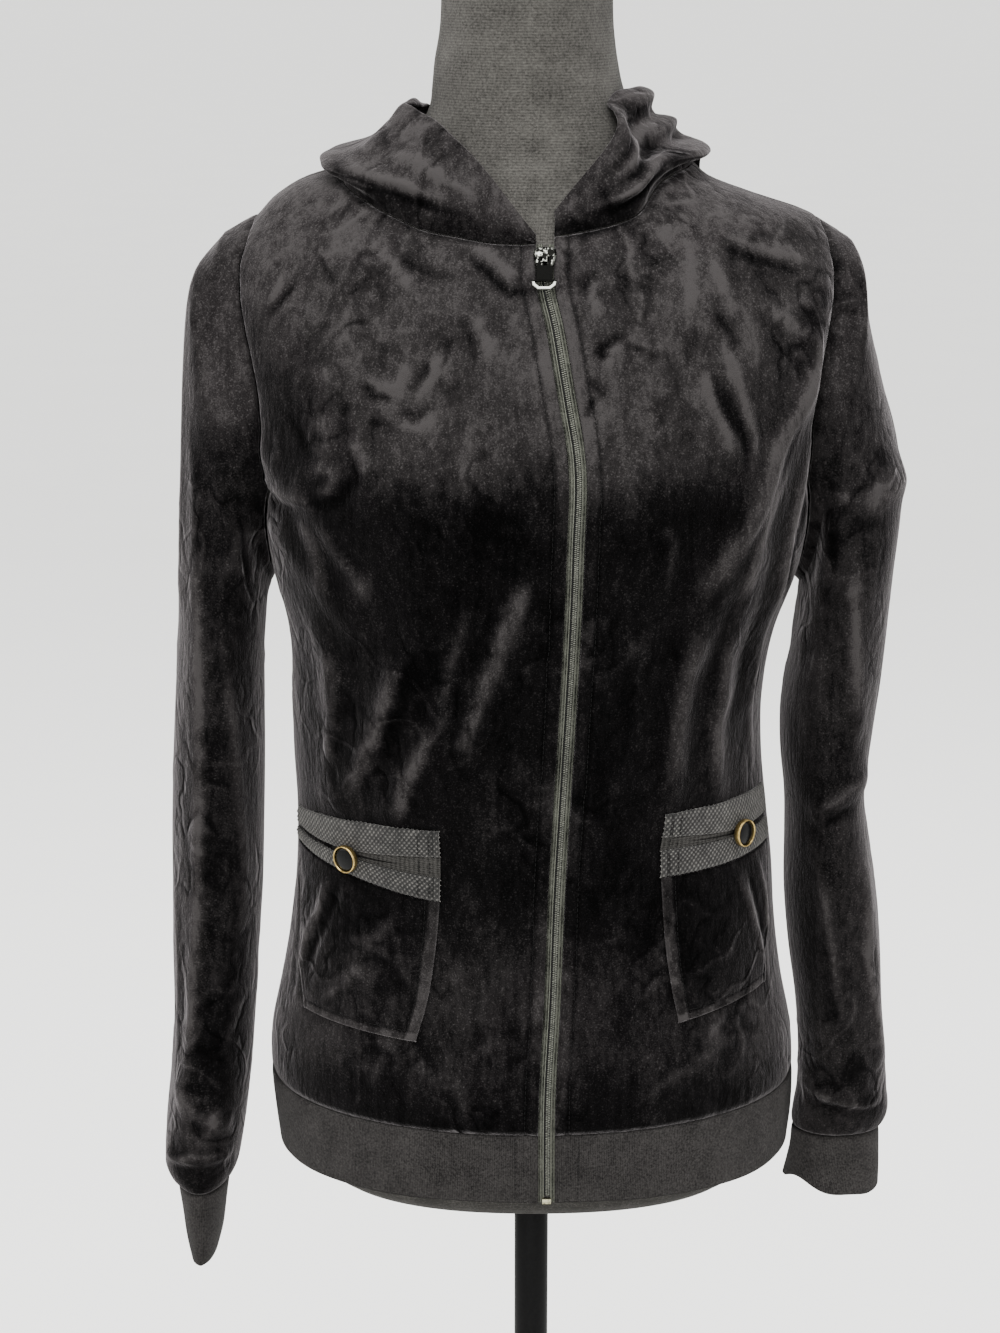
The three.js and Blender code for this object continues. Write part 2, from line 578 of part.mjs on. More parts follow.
function armholeSpot(side, k) {
  const turn = sideSign(side);
  const top = armRows.length - 1;
  const j = armRows[k <= top ? top - k : k - top];
  const z = sideZ(j);
  const upper = j < SIDE_ROWS ? null : UPPER_ROWS[j - SIDE_ROWS];
  const front = upper ? upper[3] : 90;
  const back = upper ? upper[4] : 90;
  const angle = k <= top ? turn * front : turn * back;
  return { angle, z };
}

function armholePoint(side, k) {
  const { angle, z } = armholeSpot(side, k);
  return { point: body(angle, z), normal: bodyNormal(angle, z) };
}

function ringFrame(side, row) {
  const turn = sideSign(side);
  const outer = [turn * row[0], 0, row[1]];
  const inner = [turn * row[2], 0, row[3]];
  const middle = [(outer[0] + inner[0]) / 2, (row[4] + row[5]) / 2, (outer[2] + inner[2]) / 2];
  const reach = sub(outer, inner);
  const out = unit(reach);
  const half = length(reach) / 2;
  const depth = (row[5] - row[4]) / 2;
  return { middle, out, half, depth, across: unit(cross(out, [0, 1, 0])) };
}

function ringPoint(side, row, turnAngle) {
  const frame = ringFrame(side, row);
  const c = cos(rad(turnAngle));
  const s = sin(rad(turnAngle));
  const round = (abs(c) ** row[6] + abs(s) ** row[6]) ** (-1 / row[6]);
  return add(add(frame.middle, frame.out, frame.half * c * round), [0, -1, 0], frame.depth * s * round);
}

// Turn angles of the ring's points, read from the armhole's outline
const ringTurns = Object.fromEntries(['left', 'right'].map((side) => {
  const tip = armholePoint(side, 0).point;
  const pit = armholePoint(side, RING / 2).point;
  const middle = [(tip[0] + pit[0]) / 2, (tip[1] + pit[1]) / 2, (tip[2] + pit[2]) / 2];
  const half = length(sub(tip, pit)) / 2;
  const turns = count(RING).map((k) => {
    const point = armholePoint(side, k).point;
    const level = (point[2] - middle[2]) / half;
    const turn = Math.acos(min(max(level, -1), 1)) * 180 / PI;
    return k <= RING / 2 ? turn : 360 - turn;
  });
  return [side, turns];
}));

function sleevePoint(side, k, v) {
  const rings = SLEEVES[side];
  const turn = ringTurns[side][k];
  if (v <= 0) return armholePoint(side, k).point;
  const table = rings.map((row, index) => [index + 1, ...row]);
  const row = v <= 1 ? rings[0] : count(7).map((c) => read(table, v, c + 1));
  const plain = ringPoint(side, row, turn);
  const fade = min(max(1 - v / ARMHOLE_RINGS, 0), 1);
  if (fade === 0) return plain;
  const start = ringFrame(side, startRing(side));
  const frame = ringFrame(side, row);
  const hole = armholePoint(side, k).point;
  const from = sub(hole, start.middle);
  const dot = (p, q) => p[0] * q[0] + p[1] * q[1] + p[2] * q[2];
  const carried = add(add(add(frame.middle, frame.out, dot(from, start.out) / start.half * frame.half),
    [0, 1, 0], from[1] / start.depth * frame.depth), frame.across, dot(from, start.across));
  const share = fade * fade * (3 - 2 * fade);
  return count(3).map((c) => mix(plain[c], carried[c], share));
}

function startRing(side) {
  const tip = armholePoint(side, 0).point;
  const pit = armholePoint(side, RING / 2).point;
  return [abs(tip[0]), tip[2], abs(pit[0]), pit[2], -54, 54, 2.2];
}

function sleeveNormal(side, k, v) {
  if (v <= 0) return armholePoint(side, k).normal;
  const next = (k + 1) % RING;
  const before = (k + RING - 1) % RING;
  const last = SLEEVES[side].length;
  const around = sub(sleevePoint(side, next, v), sleevePoint(side, before, v));
  const down = sub(sleevePoint(side, k, min(v + 0.3, last)), sleevePoint(side, k, max(v - 0.3, 0)));
  const normal = unit(cross(around, down));
  const middle = ringFrame(side, SLEEVES[side][min(Math.floor(v), last - 1)]).middle;
  const out = sub(sleevePoint(side, k, v), middle);
  return out[0] * normal[0] + out[1] * normal[1] > 0 ? normal : [-normal[0], -normal[1], -normal[2]];
}

function sleevePlace(side, k, v) {
  const normal = sleeveNormal(side, k, v);
  let point = sleevePoint(side, k, v);
  if (v === 0) {
    const away = unit(sub(sleevePoint(side, k, 1), point));
    point = add(point, away, SEAM_GAP);
  } else {
    point = add(point, normal, ridges(SLEEVE_FOLDS[side], ringTurns[side][k], v, 0.75, 38));
  }
  return { point, normal };
}

for (const side of ['left', 'right']) {
  const rings = count(SLEEVES[side].length + 1);
  addWall(`sleeve_${side}`, count(RING), rings, (k, v) => sleevePlace(side, k, v), -VELOUR, 0, 'velour', true);
  const cuffPlace = (k, row) => {
    const turn = ringTurns[side][k];
    const here = ringPoint(side, row, turn);
    const around = sub(ringPoint(side, row, turn + 2), ringPoint(side, row, turn - 2));
    const normal = unit(cross(around, [0, 0, 1]));
    const out = sub(here, ringFrame(side, row).middle);
    const facing = out[0] * normal[0] + out[1] * normal[1] > 0 ? 1 : -1;
    return { point: here, normal: [normal[0] * facing, normal[1] * facing, 0] };
  };
  addWall(`cuff_${side}`, count(RING), CUFFS[side], cuffPlace, -KNIT, 0, 'knit', true);
}

// Hood halves
function hoodProfile(list, t) {
  const spread = list.length === 16 ? t : t / 15 * (list.length - 1);
  const table = list.map((pair, index) => [index, ...pair]);
  return [read(table, spread, 1), read(table, spread, 2)];
}

function hoodOffset(side, angle, t) {
  const stations = Object.keys(HOOD[side]).map(Number);
  const out = stations.map((station) => [station, ...hoodProfile(HOOD[side][station], t)]);
  return [read(out, angle, 1), read(out, angle, 2)];
}

const HOOD_SPOTS = {
  left: [...count(12).map((i) => frontSpot('left', i, ALL_ROWS - 1)),
    ...count(BACK_COLUMNS / 2).map((i) => backSpot(i + 1, ALL_ROWS - 1))],
  right: [...count(12).map((i) => frontSpot('right', i, ALL_ROWS - 1)),
    ...count(BACK_COLUMNS / 2).map((i) => {
      const spot = backSpot(BACK_COLUMNS - 1 - i, ALL_ROWS - 1);
      return { angle: spot.angle - 360, z: spot.z };
    })],
};

// Pushes a point out of the body until it has some room from the cloth's outer face
function keepOff(point, room) {
  const [x, y, z] = point;
  const power = read(BODY, z, 6);
  const middle = read(BODY, z, 5);
  const width = read(BODY, z, x > 0 ? 2 : 1);
  const depth = y < middle ? read(BODY, z, 3) + middle : read(BODY, z, 4) - middle;
  const reach = hypot(x, y - middle);
  const share = (abs(x / width) ** power + abs((y - middle) / depth) ** power) ** (1 / power);
  const push = max(reach / share + room - reach, 0);
  return [x + x / reach * push, y + (y - middle) / reach * push, z];
}

// Room of the hood's two layers over the back; none at the neckline seam itself
function hoodRoom(t, up) {
  const layer = min(max((t - 6.5) / 2, 0), 1);
  const below = min(max((5 - up) / 14, 0), 1) * min(max((t - 1) / 2, 0), 1);
  return t < 0.5 ? -1000 : mix(-1.2, mix(8.5, 16, layer), below);
}

function hoodPoint(side, index, t) {
  const { angle, z } = HOOD_SPOTS[side][index];
  const normal = bodyNormal(angle, z);
  const seam = add(body(angle, z), normal, -VELOUR / 2);
  const rise = unit(sub(body(angle, z + 1), body(angle, z)));
  const start = add(seam, rise, SEAM_GAP);
  const out = unit([seam[0] + 4, seam[1] - 8, 0]);
  const [away, up] = hoodOffset(side, abs(angle), t);
  const point = keepOff(add(add(start, out, away), [0, 0, 1], up), hoodRoom(t, up));
  if (index === HOOD_SPOTS[side].length - 1) point[0] = sideSign(side) * SEAM_GAP / 2;
  return point;
}

function hoodPlace(side, index, t) {
  const { angle, z } = HOOD_SPOTS[side][index];
  const point = hoodPoint(side, index, t);
  if (t === 0) return { point, normal: bodyNormal(angle, z) };
  const last = HOOD_SPOTS[side].length - 1;
  const across = sub(hoodPoint(side, min(index + 1, last), t), hoodPoint(side, max(index - 1, 0), t));
  const along = sub(hoodPoint(side, index, min(t + 0.2, 15)), hoodPoint(side, index, max(t - 0.2, 0)));
  let normal = unit(cross(across, along));
  if (side === 'right') normal = [-normal[0], -normal[1], -normal[2]];
  if (index === last) normal = unit([0, normal[1], normal[2]]);
  return { point, normal };
}

for (const side of ['left', 'right']) {
  const place = (index, t) => hoodPlace(side, index, t);
  const half = VELOUR / 2;
  addWall(`hood_${side}`, count(HOOD_SPOTS[side].length), HOOD_STEPS, place, -half, half, 'velour');
}

// Pockets: rows 2 to 6 hold the patch, 6 to 7 the lower braid, 7 to 8 the plain strip, 8 to 9 the upper braid
function onPanel(side, i, j, inI, inJ) {
  const near = frontPlace(side, i, j);
  const shift = (spot, towards, distance) => add(spot, unit(sub(towards, spot)), distance);
  let { point } = near;
  if (inI) point = shift(point, frontPlace(side, i + inI, j).point, SEAM_GAP / 2);
  if (inJ) point = shift(point, frontPlace(side, i, j + inJ).point, SEAM_GAP / 2);
  return { point, normal: near.normal };
}

function addOnPanel(name, side, firstI, lastI, firstJ, lastJ, rise, look) {
  const columns = count(lastI - firstI + 1).map((i) => i + firstI);
  const rows = count(lastJ - firstJ + 1).map((j) => j + firstJ);
  const place = (i, j) => onPanel(side, i, j, 0, j === firstJ ? 1 : (j === lastJ ? -1 : 0));
  addWall(name, columns, rows, place, SEAM_GAP, SEAM_GAP + rise, look);
}

for (const side of ['left', 'right']) {
  addOnPanel(`pocket_${side}`, side, 3, 9, 2, 6, PATCH_RISE, 'velour');
  addOnPanel(`trim_lower_${side}`, side, 3, 9, 6, 7, TRIM_RISE, 'braid');
  addOnPanel(`trim_strip_${side}`, side, 3, 5, 7, 8, STRIP_RISE, 'strip');
  addOnPanel(`trim_upper_${side}`, side, 3, 9, 8, 9, TRIM_RISE, 'braid');
}

// Buttons: a rimmed cup and its domed middle
const BUTTONS = { right: [-47, 952.5], left: [56, 964] };
for (const side of ['left', 'right']) {
  const [angle, z] = BUTTONS[side];
  const axis = bodyNormal(angle, z);
  const seat = add(body(angle, z), axis, SEAM_GAP + TRIM_RISE + 0.75);
  const r = BUTTON_RADIUS;
  const rim = [[0, 0], [r - 1, 0], [r, 1], [r, BUTTON_HEIGHT - 0.8], [r - 0.9, BUTTON_HEIGHT],
    [r - 1.9, BUTTON_HEIGHT - 0.7], [r - 2.1, 1.6], [0, 1.6]];
  const dome = [[0, 1.9], [r - 2.4, 1.9], [r - 2.4, 2.8], [r - 4.4, 3.9], [0, 4.3]];
  addTurned(`button_rim_${side}`, rim, 20, seat, axis, 'brass');
  addTurned(`button_dome_${side}`, dome, 20, seat, axis, 'black');
}

// Zip: tapes, coil, slider, pull and end stop
const zipRows = [
  BAND_END_Z + 1, 754, 770,
  ...count(ALL_ROWS).map((j) => (j < SIDE_ROWS ? ROWS.right[j][0] : UPPER_ROWS[j - SIDE_ROWS][1])),
];

function zipPoint(across, z) {
  const left = smoothBody(zipAngle('left', z), z);
  const right = smoothBody(zipAngle('right', z), z);
  const share = (across + ZIP_HALF) / (2 * ZIP_HALF);
  return count(3).map((c) => mix(right[c], left[c], share));
}

function zipPlace(across, z) {
  const up = sub(zipPoint(0, z + 2), zipPoint(0, z - 2));
  return { point: zipPoint(across, z), normal: unit(cross([1, 0, 0], up)) };
}

const tapeIn = SEAM_GAP / 2;
const tapeOut = ZIP_HALF - SEAM_GAP;
addWall('zip_tape_left', [tapeIn, tapeOut], zipRows, zipPlace, -TAPE_THICK - 0.4, -0.4, 'tape');
addWall('zip_tape_right', [-tapeOut, -tapeIn], zipRows, zipPlace, -TAPE_THICK - 0.4, -0.4, 'tape');
const SLIDER_Z = 1313;
const coilInside = zipRows.filter((z) => z > BAND_END_Z + 8 && z < SLIDER_Z - 9);
const coilRows = [BAND_END_Z + 7, ...coilInside, SLIDER_Z - 8.5];
addWall('zip_coil', [-COIL_HALF, -COIL_HALF * 0.5, COIL_HALF * 0.5, COIL_HALF], coilRows, (across, z) => {
  const spot = zipPlace(across, z);
  const inset = abs(across) === COIL_HALF ? -0.35 : 0;
  return { point: add(spot.point, spot.normal, inset), normal: spot.normal };
}, 0.3, COIL_RISE + 0.3, 'coil');

// Frame of a hard zip piece: across, up along the zip, and outward
function zipFrame(z) {
  const up = unit(sub(zipPoint(0, z + 3), zipPoint(0, z - 3)));
  const out = unit(cross([1, 0, 0], up));
  const origin = zipPoint(0, z);
  return { origin, up, out, put: (x, y, h) => add(add(add(origin, [1, 0, 0], x), up, y), out, h) };
}

// Prism of a convex outline between two heights, its top drawn in a little
function prism(outline, low, high, draw = 0.9) {
  const n = outline.length;
  const layers = [[low, 1], [high - 0.4, 1], [high, draw]];
  const middle = [0, 1].map((c) => outline.reduce((sum, corner) => sum + corner[c], 0) / n);
  const points = layers.flatMap(([h, share]) => outline.map((corner) => [
    mix(middle[0], corner[0], share), mix(middle[1], corner[1], share), h]));
  const faces = [];
  for (let layer = 0; layer < layers.length - 1; layer += 1) {
    for (let k = 0; k < n; k += 1) {
      const a = layer * n + k;
      const b = layer * n + (k + 1) % n;
      faces.push([a, b, b + n], [a, b + n, a + n]);
    }
  }
  const top = (layers.length - 1) * n;
  for (let k = 1; k < n - 1; k += 1) faces.push([0, k + 1, k], [top, top + k, top + k + 1]);
  return new Manifold(new Solid({
    numProp: 3,
    vertProperties: new Float32Array(points.flat()),
    triVerts: new Uint32Array(faces.flat()),
  }));
}

const block = (x0, x1, y0, y1, low, high) => Manifold.cube([x1 - x0, y1 - y0, high - low])
  .translate([x0, y0, low]);

// Adds a joined solid, carried from its own frame into the garment's
function addSolid(name, solid, put, look) {
  const mesh = solid.getMesh();
  const points = count(mesh.numVert).map((k) => put(...mesh.vertProperties.slice(k * 3, k * 3 + 3)));
  const faces = count(mesh.numTri).map((k) => [...mesh.triVerts.slice(k * 3, k * 3 + 3)]);
  return addMesh(name, points, faces, look);
}

const slider = zipFrame(SLIDER_Z);
const plate = prism([[-3.4, -7], [3.4, -7], [5.2, -4], [6.6, 2], [6.2, 5], [3.6, 6.6], [-3.6, 6.6],
  [-6.2, 5], [-6.6, 2], [-5.2, -4]], 0.2, 2.8, 0.86);
const bridge = block(-1.3, 1.3, -4.5, 2.5, 2.2, 6.2).subtract(block(-2, 2, -3.1, 1.1, 2.8, 5.4));
addSolid('zip_slider', plate.add(bridge), slider.put, 'nickel');

// Pull: a pin through the bridge, two arms, a plate and the end ring, in one piece
const PIN = { y: -1, h: 4.15, radius: 0.75, half: 3.7 };
const pin = Manifold.cylinder(2 * PIN.half, PIN.radius, PIN.radius, 10)
  .rotate([0, 90, 0]).translate([-PIN.half, PIN.y, PIN.h]);
const arms = block(-3.7, -2.3, -6.6, -1, 3.5, 4.8).add(block(2.3, 3.7, -6.6, -1, 3.5, 4.8));
const tab = prism([[-4.8, -15.6], [4.8, -15.6], [4.8, -6.2], [-4.8, -6.2]], 3.4, 5, 0.94);
const ringOutline = (grow) => [[-3.4 - grow, -14.6 + grow], [-7 - grow, -15.6 + grow * 0.5],
  [-6.6 - grow, -18.6 - grow * 0.5], [-3.6 - grow * 0.5, -21.2 - grow], [3.6 + grow * 0.5, -21.2 - grow],
  [6.6 + grow, -18.6 - grow * 0.5], [7 + grow, -15.6 + grow * 0.5], [3.4 + grow, -14.6 + grow]];
const endRing = prism(ringOutline(0), 3.5, 4.9, 0.95).subtract(prism(ringOutline(-1.5), 3, 6, 1));
addSolid('zip_pull', pin.add(arms).add(tab).add(endRing), slider.put, 'nickel');

const stopFrame = zipFrame(BAND_END_Z + 3.5);
addSolid('zip_stop', block(-2.6, 2.6, -1.8, 1.8, 0.1, 2), stopFrame.put, 'nickel');

// Form, cap, pole and base
const FORM_SIDES = 32;
const formTurns = count(FORM_SIDES).map((k) => 360 * k / FORM_SIDES);
const formRing = (z, share, room) => formTurns.map((turn) => {
  const inside = add(smoothBody(turn, z), smoothNormal(turn, z), -room);
  return [inside[0] * share, 10 + (inside[1] - 10) * share, share < 1 ? z : inside[2]];
});

// Closed solid through a stack of rings
function addStack(name, rings, look) {
  const sides = rings[0].length;
  const points = rings.flat();
  const faces = [];
  for (let r = 0; r < rings.length - 1; r += 1) {
    for (let k = 0; k < sides; k += 1) {
      const a = r * sides + k;
      const b = r * sides + (k + 1) % sides;
      faces.push([a, b, b + sides], [a, b + sides, a + sides]);
    }
  }
  const centre = (ring) => [0, 1, 2].map((c) => ring.reduce((sum, p) => sum + p[c], 0) / ring.length);
  const bottom = points.push(centre(rings[0])) - 1;
  const top = points.push(centre(rings[rings.length - 1])) - 1;
  const last = (rings.length - 1) * sides;
  for (let k = 0; k < sides; k += 1) {
    const next = (k + 1) % sides;
    faces.push([bottom, next, k], [top, last + k, last + next]);
  }
  return addMesh(name, points, faces, look);
}

const FORM_ROWS = [786, 815, 850, 896, 928, 965, 1002, 1040, 1082, 1118, 1150, 1180, 1210, 1240, 1268, 1292,
  1310, 1323, 1333, 1343, 1352, 1361, 1369, 1378, 1392, 1406, 1422, 1442, NECK_TOP_Z];
const level = (ring, z) => ring.map((p) => [p[0], p[1], z]);
const lowRings = [...FORM_END].reverse().map(([z, share]) => formRing(z, share, read(FORM_ROOM, z)));
const highRings = FORM_ROWS.map((z) => formRing(z, 1, read(FORM_ROOM, z)));
highRings[highRings.length - 1] = level(highRings[highRings.length - 1], NECK_TOP_Z);
addStack('form_torso', [...lowRings, ...highRings], 'jersey');

const capRing = (share, z) => level(highRings[highRings.length - 1], z)
  .map((p) => [-4.5 + (p[0] + 4.5) * share, 8 + (p[1] - 8) * share, z]);
const capLow = NECK_TOP_Z + SEAM_GAP;
addStack('form_neck_cap', [capRing(1.02, capLow), capRing(1.02, capLow + CAP_HEIGHT * 0.6),
  capRing(0.98, capLow + CAP_HEIGHT)], 'base');

const poleTop = FORM_END_Z - SEAM_GAP;
addTurned('form_pole', [[0, BASE_HEIGHT + SEAM_GAP], [POLE_RADIUS, BASE_HEIGHT + SEAM_GAP],
  [POLE_RADIUS, poleTop],
  [0, poleTop]], 24, [0, 0, 0], [0, 0, 1], 'base');
addTurned('form_base', [[0, 0], [BASE_RADIUS, 0], [BASE_RADIUS, BASE_HEIGHT - 3],
  [BASE_RADIUS - 3, BASE_HEIGHT],
  [0, BASE_HEIGHT]], 48, [0, 0, 0], [0, 0, 1], 'base');

export default part;
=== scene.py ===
# Black velour zip hoodie on a limbless dress form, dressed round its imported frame.
# Blender's units are metres; the tables and the shape functions are in millimetres.
import itertools
import math

import bpy
import numpy as np
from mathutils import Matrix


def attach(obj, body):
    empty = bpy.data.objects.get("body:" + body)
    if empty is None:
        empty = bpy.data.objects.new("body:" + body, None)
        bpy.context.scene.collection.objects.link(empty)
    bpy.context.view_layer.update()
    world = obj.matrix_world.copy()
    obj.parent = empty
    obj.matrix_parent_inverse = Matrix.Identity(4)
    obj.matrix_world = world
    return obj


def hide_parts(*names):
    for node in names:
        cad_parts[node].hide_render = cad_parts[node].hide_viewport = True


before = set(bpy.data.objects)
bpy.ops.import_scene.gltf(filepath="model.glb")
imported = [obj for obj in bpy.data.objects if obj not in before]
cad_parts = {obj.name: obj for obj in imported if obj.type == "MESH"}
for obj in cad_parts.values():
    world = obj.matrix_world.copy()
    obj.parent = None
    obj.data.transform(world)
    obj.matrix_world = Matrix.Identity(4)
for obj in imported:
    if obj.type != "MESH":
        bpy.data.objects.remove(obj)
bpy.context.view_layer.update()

MM = 0.001
VELOUR = 2.0
KNIT = 2.6
SEAM_GAP = 0.3
ZIP_HALF = 5.3
HEM_SEAM_Z = 786
BAND_END_Z = 737
NECK_TOP_Z = 1464
SLIDER_Z = 1313
PULL_RING_TOP = 1302.6
ARMHOLE_RINGS = 5

BODY = [
    # z, right, left, front, back, middle, power
    [712, 162, 166, 96, 114, 10, 2.3],
    [737, 164, 166.5, 101, 118, 10, 2.3],
    [760, 166.5, 168.5, 105, 121, 10, 2.2],
    [786, 168.5, 168.5, 108, 122, 10, 2.1],
    [811, 168, 167, 108, 120, 10, 2.1],
    [850, 160, 159.5, 105, 112, 9, 2.1],
    [896, 152, 153.5, 102, 98, 8, 2.1],
    [928, 149, 151, 101, 90, 7, 2.1],
    [965, 148, 146.5, 102, 86, 6, 2.1],
    [1002, 149.5, 142.5, 105, 88, 5, 2.1],
    [1040, 149.5, 141.5, 110, 93, 4, 2.15],
    [1082, 150.5, 147.5, 116, 100, 3, 2.2],
    [1118, 159, 160, 120, 105, 2, 2.2],
    [1150, 166, 168, 122, 108, 2, 2.2],
    [1190, 172, 174, 121, 109, 2, 2.2],
    [1230, 177, 179, 114, 108, 2, 2.2],
    [1265, 181, 183, 103, 104, 3, 2.2],
    [1290, 183, 185, 92, 98, 4, 2.15],
    [1308, 181, 183, 82, 92, 5, 2.1],
    [1321, 173, 176, 73, 86, 6, 2.1],
    [1331, 163, 163, 67, 80, 6, 2.05],
    [1342, 152, 130, 61, 73, 7, 2.0],
    [1351, 136, 104.5, 57, 69, 7, 2.0],
    [1361, 103, 92, 54, 66, 8, 2.0],
    [1368, 87, 80, 51, 64.5, 8, 2.0],
    [1376, 76, 72, 49, 63, 8, 2.0],
    [1393, 64, 58, 46.5, 62, 8, 2.0],
    [1404, 62.4, 53.5, 45.8, 61.5, 8, 2.0],
    [1418, 61, 50.4, 45.2, 61, 8, 2.0],
    [1435, 58.2, 48.2, 45, 61, 8, 2.0],
    [1466, 57, 47.5, 45, 61, 8, 2.0],
]
BUST = [
    # centre x, centre z, depth, half width, half height
    [76, 1180, 8, 52, 48],
    [-76, 1176, 8, 52, 48],
]
ZIP_PATH = [
    # z, x
    [700, 8], [737, 8], [810, 8], [874, 11], [937, 13], [1000, 16], [1063, 19], [1114, 21],
    [1153, 22], [1210, 22], [1233, 18], [1256, 14], [1278, 10], [1299, 5], [1325, 5], [1400, 5],
]
BODY_FOLDS = [
    # start angle, start z, end angle, end z, half width, height
    [-49, 990, -31, 1069, 13, 3.6],
    [-31, 1069, -24, 1112, 13, 2.6],
    [-34, 990, -21, 1045, 11, 3.4],
    [-25, 990, -14, 1050, 11, 3.0],
    [-14, 1050, -2, 1130, 13, 1.6],
    [-53, 1092, -50, 1056, 14, 3.2],
    [-50, 1056, -55, 992, 14, 2.6],
    [-66, 1172, -48, 1140, 14, -2.2],
    [-62, 1196, -44, 1168, 13, 2.8],
    [-60, 1150, -42, 1108, 13, 2.6],
    [-39, 1268, -20, 1227, 16, -1.8],
    [-48, 1305, -40, 1284, 15, -2.0],
    [61, 1290, 57, 1234, 13, 3.0],
    [57, 1234, 43, 1166, 13, 3.4],
    [43, 1166, 40, 1130, 13, 2.6],
    [48, 1140, 47, 1057, 12, 3.4],
    [47, 1057, 48, 1000, 12, 3.0],
    [59, 1135, 60, 1050, 12, 2.8],
    [41, 1143, 36, 1090, 12, 2.8],
    [36, 1090, 34, 1000, 12, 3.4],
    [31, 1280, 42, 1200, 14, 2.0],
    [28, 1330, 27, 1290, 14, 1.6],
    [-30, 830, -12, 812, 14, 1.4],
    [40, 835, 20, 812, 14, 1.4],
    [160, 1180, 152, 1060, 15, 2.4],
    [-158, 1170, -150, 1050, 15, 2.6],
    [120, 1130, 132, 1020, 14, 2.8],
    [-122, 1120, -134, 1010, 14, 2.6],
    [176, 1040, 170, 930, 15, 2.0],
    [-140, 960, -120, 900, 15, 2.0],
    [136, 950, 118, 890, 15, 2.2],
]
FRONT_SHARES = [0, 0.34, 0.67, 1, 1.16, 1.33, 1.5, 1.67, 1.84, 2, 2.5, 3]
POCKET_EDGES = {
    # z, angle of the pocket's inner edge, angle of its outer edge
    "right": [[786, 27, 58], [843, 26, 60], [870, 24, 65], [908, 22.5, 71], [933, 22, 75], [985, 22, 75],
      [1112, 23, 72]],
    "left": [[786, 33, 62], [852, 32.5, 65], [881, 31, 68], [913, 30, 72], [946, 30, 75], [985, 32, 75],
      [1112, 31, 73]],
}
ROWS = {
    # z at the zip, pocket's inner edge, pocket's middle, pocket's outer edge, side seam
    "right": [
      [786, 786, 786, 786, 786], [814, 813, 814, 815, 814], [847, 843, 844, 845, 845],
      [870, 866, 867, 868, 868],
      [892, 889, 891, 892, 891], [914, 911, 916, 920, 916], [938, 933, 941.5, 948, 941],
      [951, 948.7, 953, 955.5, 953],
      [963, 961.6, 956.6, 958.8, 965], [980, 979, 976.5, 970.5, 982], [1005, 1004, 1004, 1000, 1006],
      [1030, 1030, 1030, 1030, 1030], [1056, 1056, 1056, 1056, 1056], [1084, 1084, 1084, 1084, 1084],
      [1112, 1112, 1112, 1112, 1112],
    ],
    "left": [
      [786, 786, 786, 786, 786], [814, 816, 818, 819, 814], [847, 852, 856, 859, 845],
      [870, 874, 877, 880, 868],
      [892, 897, 899, 901, 891], [914, 921, 923, 925, 916], [938, 946, 947, 948.5, 941],
      [951, 964, 962.6, 962.5, 953],
      [963, 971.6, 966.4, 966.2, 965], [980, 987, 986.5, 985, 982], [1005, 1008, 1008, 1008, 1006],
      [1030, 1031, 1031, 1031, 1030], [1056, 1056, 1056, 1056, 1056], [1084, 1084, 1084, 1084, 1084],
      [1112, 1112, 1112, 1112, 1112],
    ],
}
UPPER_ROWS = [
    # z at the side, z at the zip, z at the centre back, front armhole angle, back armhole angle
    [1121, 1121, 1122, 82, 98],
    [1140, 1138, 1141, 75, 104.5],
    [1168, 1165, 1170, 68.5, 110],
    [1196, 1191, 1199, 65, 113],
    [1224, 1216, 1228, 63.5, 114],
    [1251, 1240, 1256, 65, 113.5],
    [1277, 1262, 1283, 68, 112],
    [1300, 1280, 1308, 70, 109],
    [1315, 1293, 1325, 72, 106],
    [1325, 1302, 1337, 79, 100],
    [1331, 1308, 1346, 90, 90],
    [1346, 1314, 1360, 90, 90],
    [1361, 1321, 1374, 90, 90],
]
NECK_CLIMB = {
    "right": [[0, 0], [0.11, 0.02], [0.18, 0.1], [0.27, 0.2], [0.36, 0.38], [0.54, 0.67], [0.8, 0.91],
      [1, 1]],
    "left": [[0, 0.1], [0.1, 0.2], [0.19, 0.32], [0.34, 0.6], [0.6, 0.88], [0.8, 0.95], [1, 1]],
    "back": [[0, 0], [0.3, 0.3], [0.6, 0.72], [0.85, 0.97], [1, 1]],
}
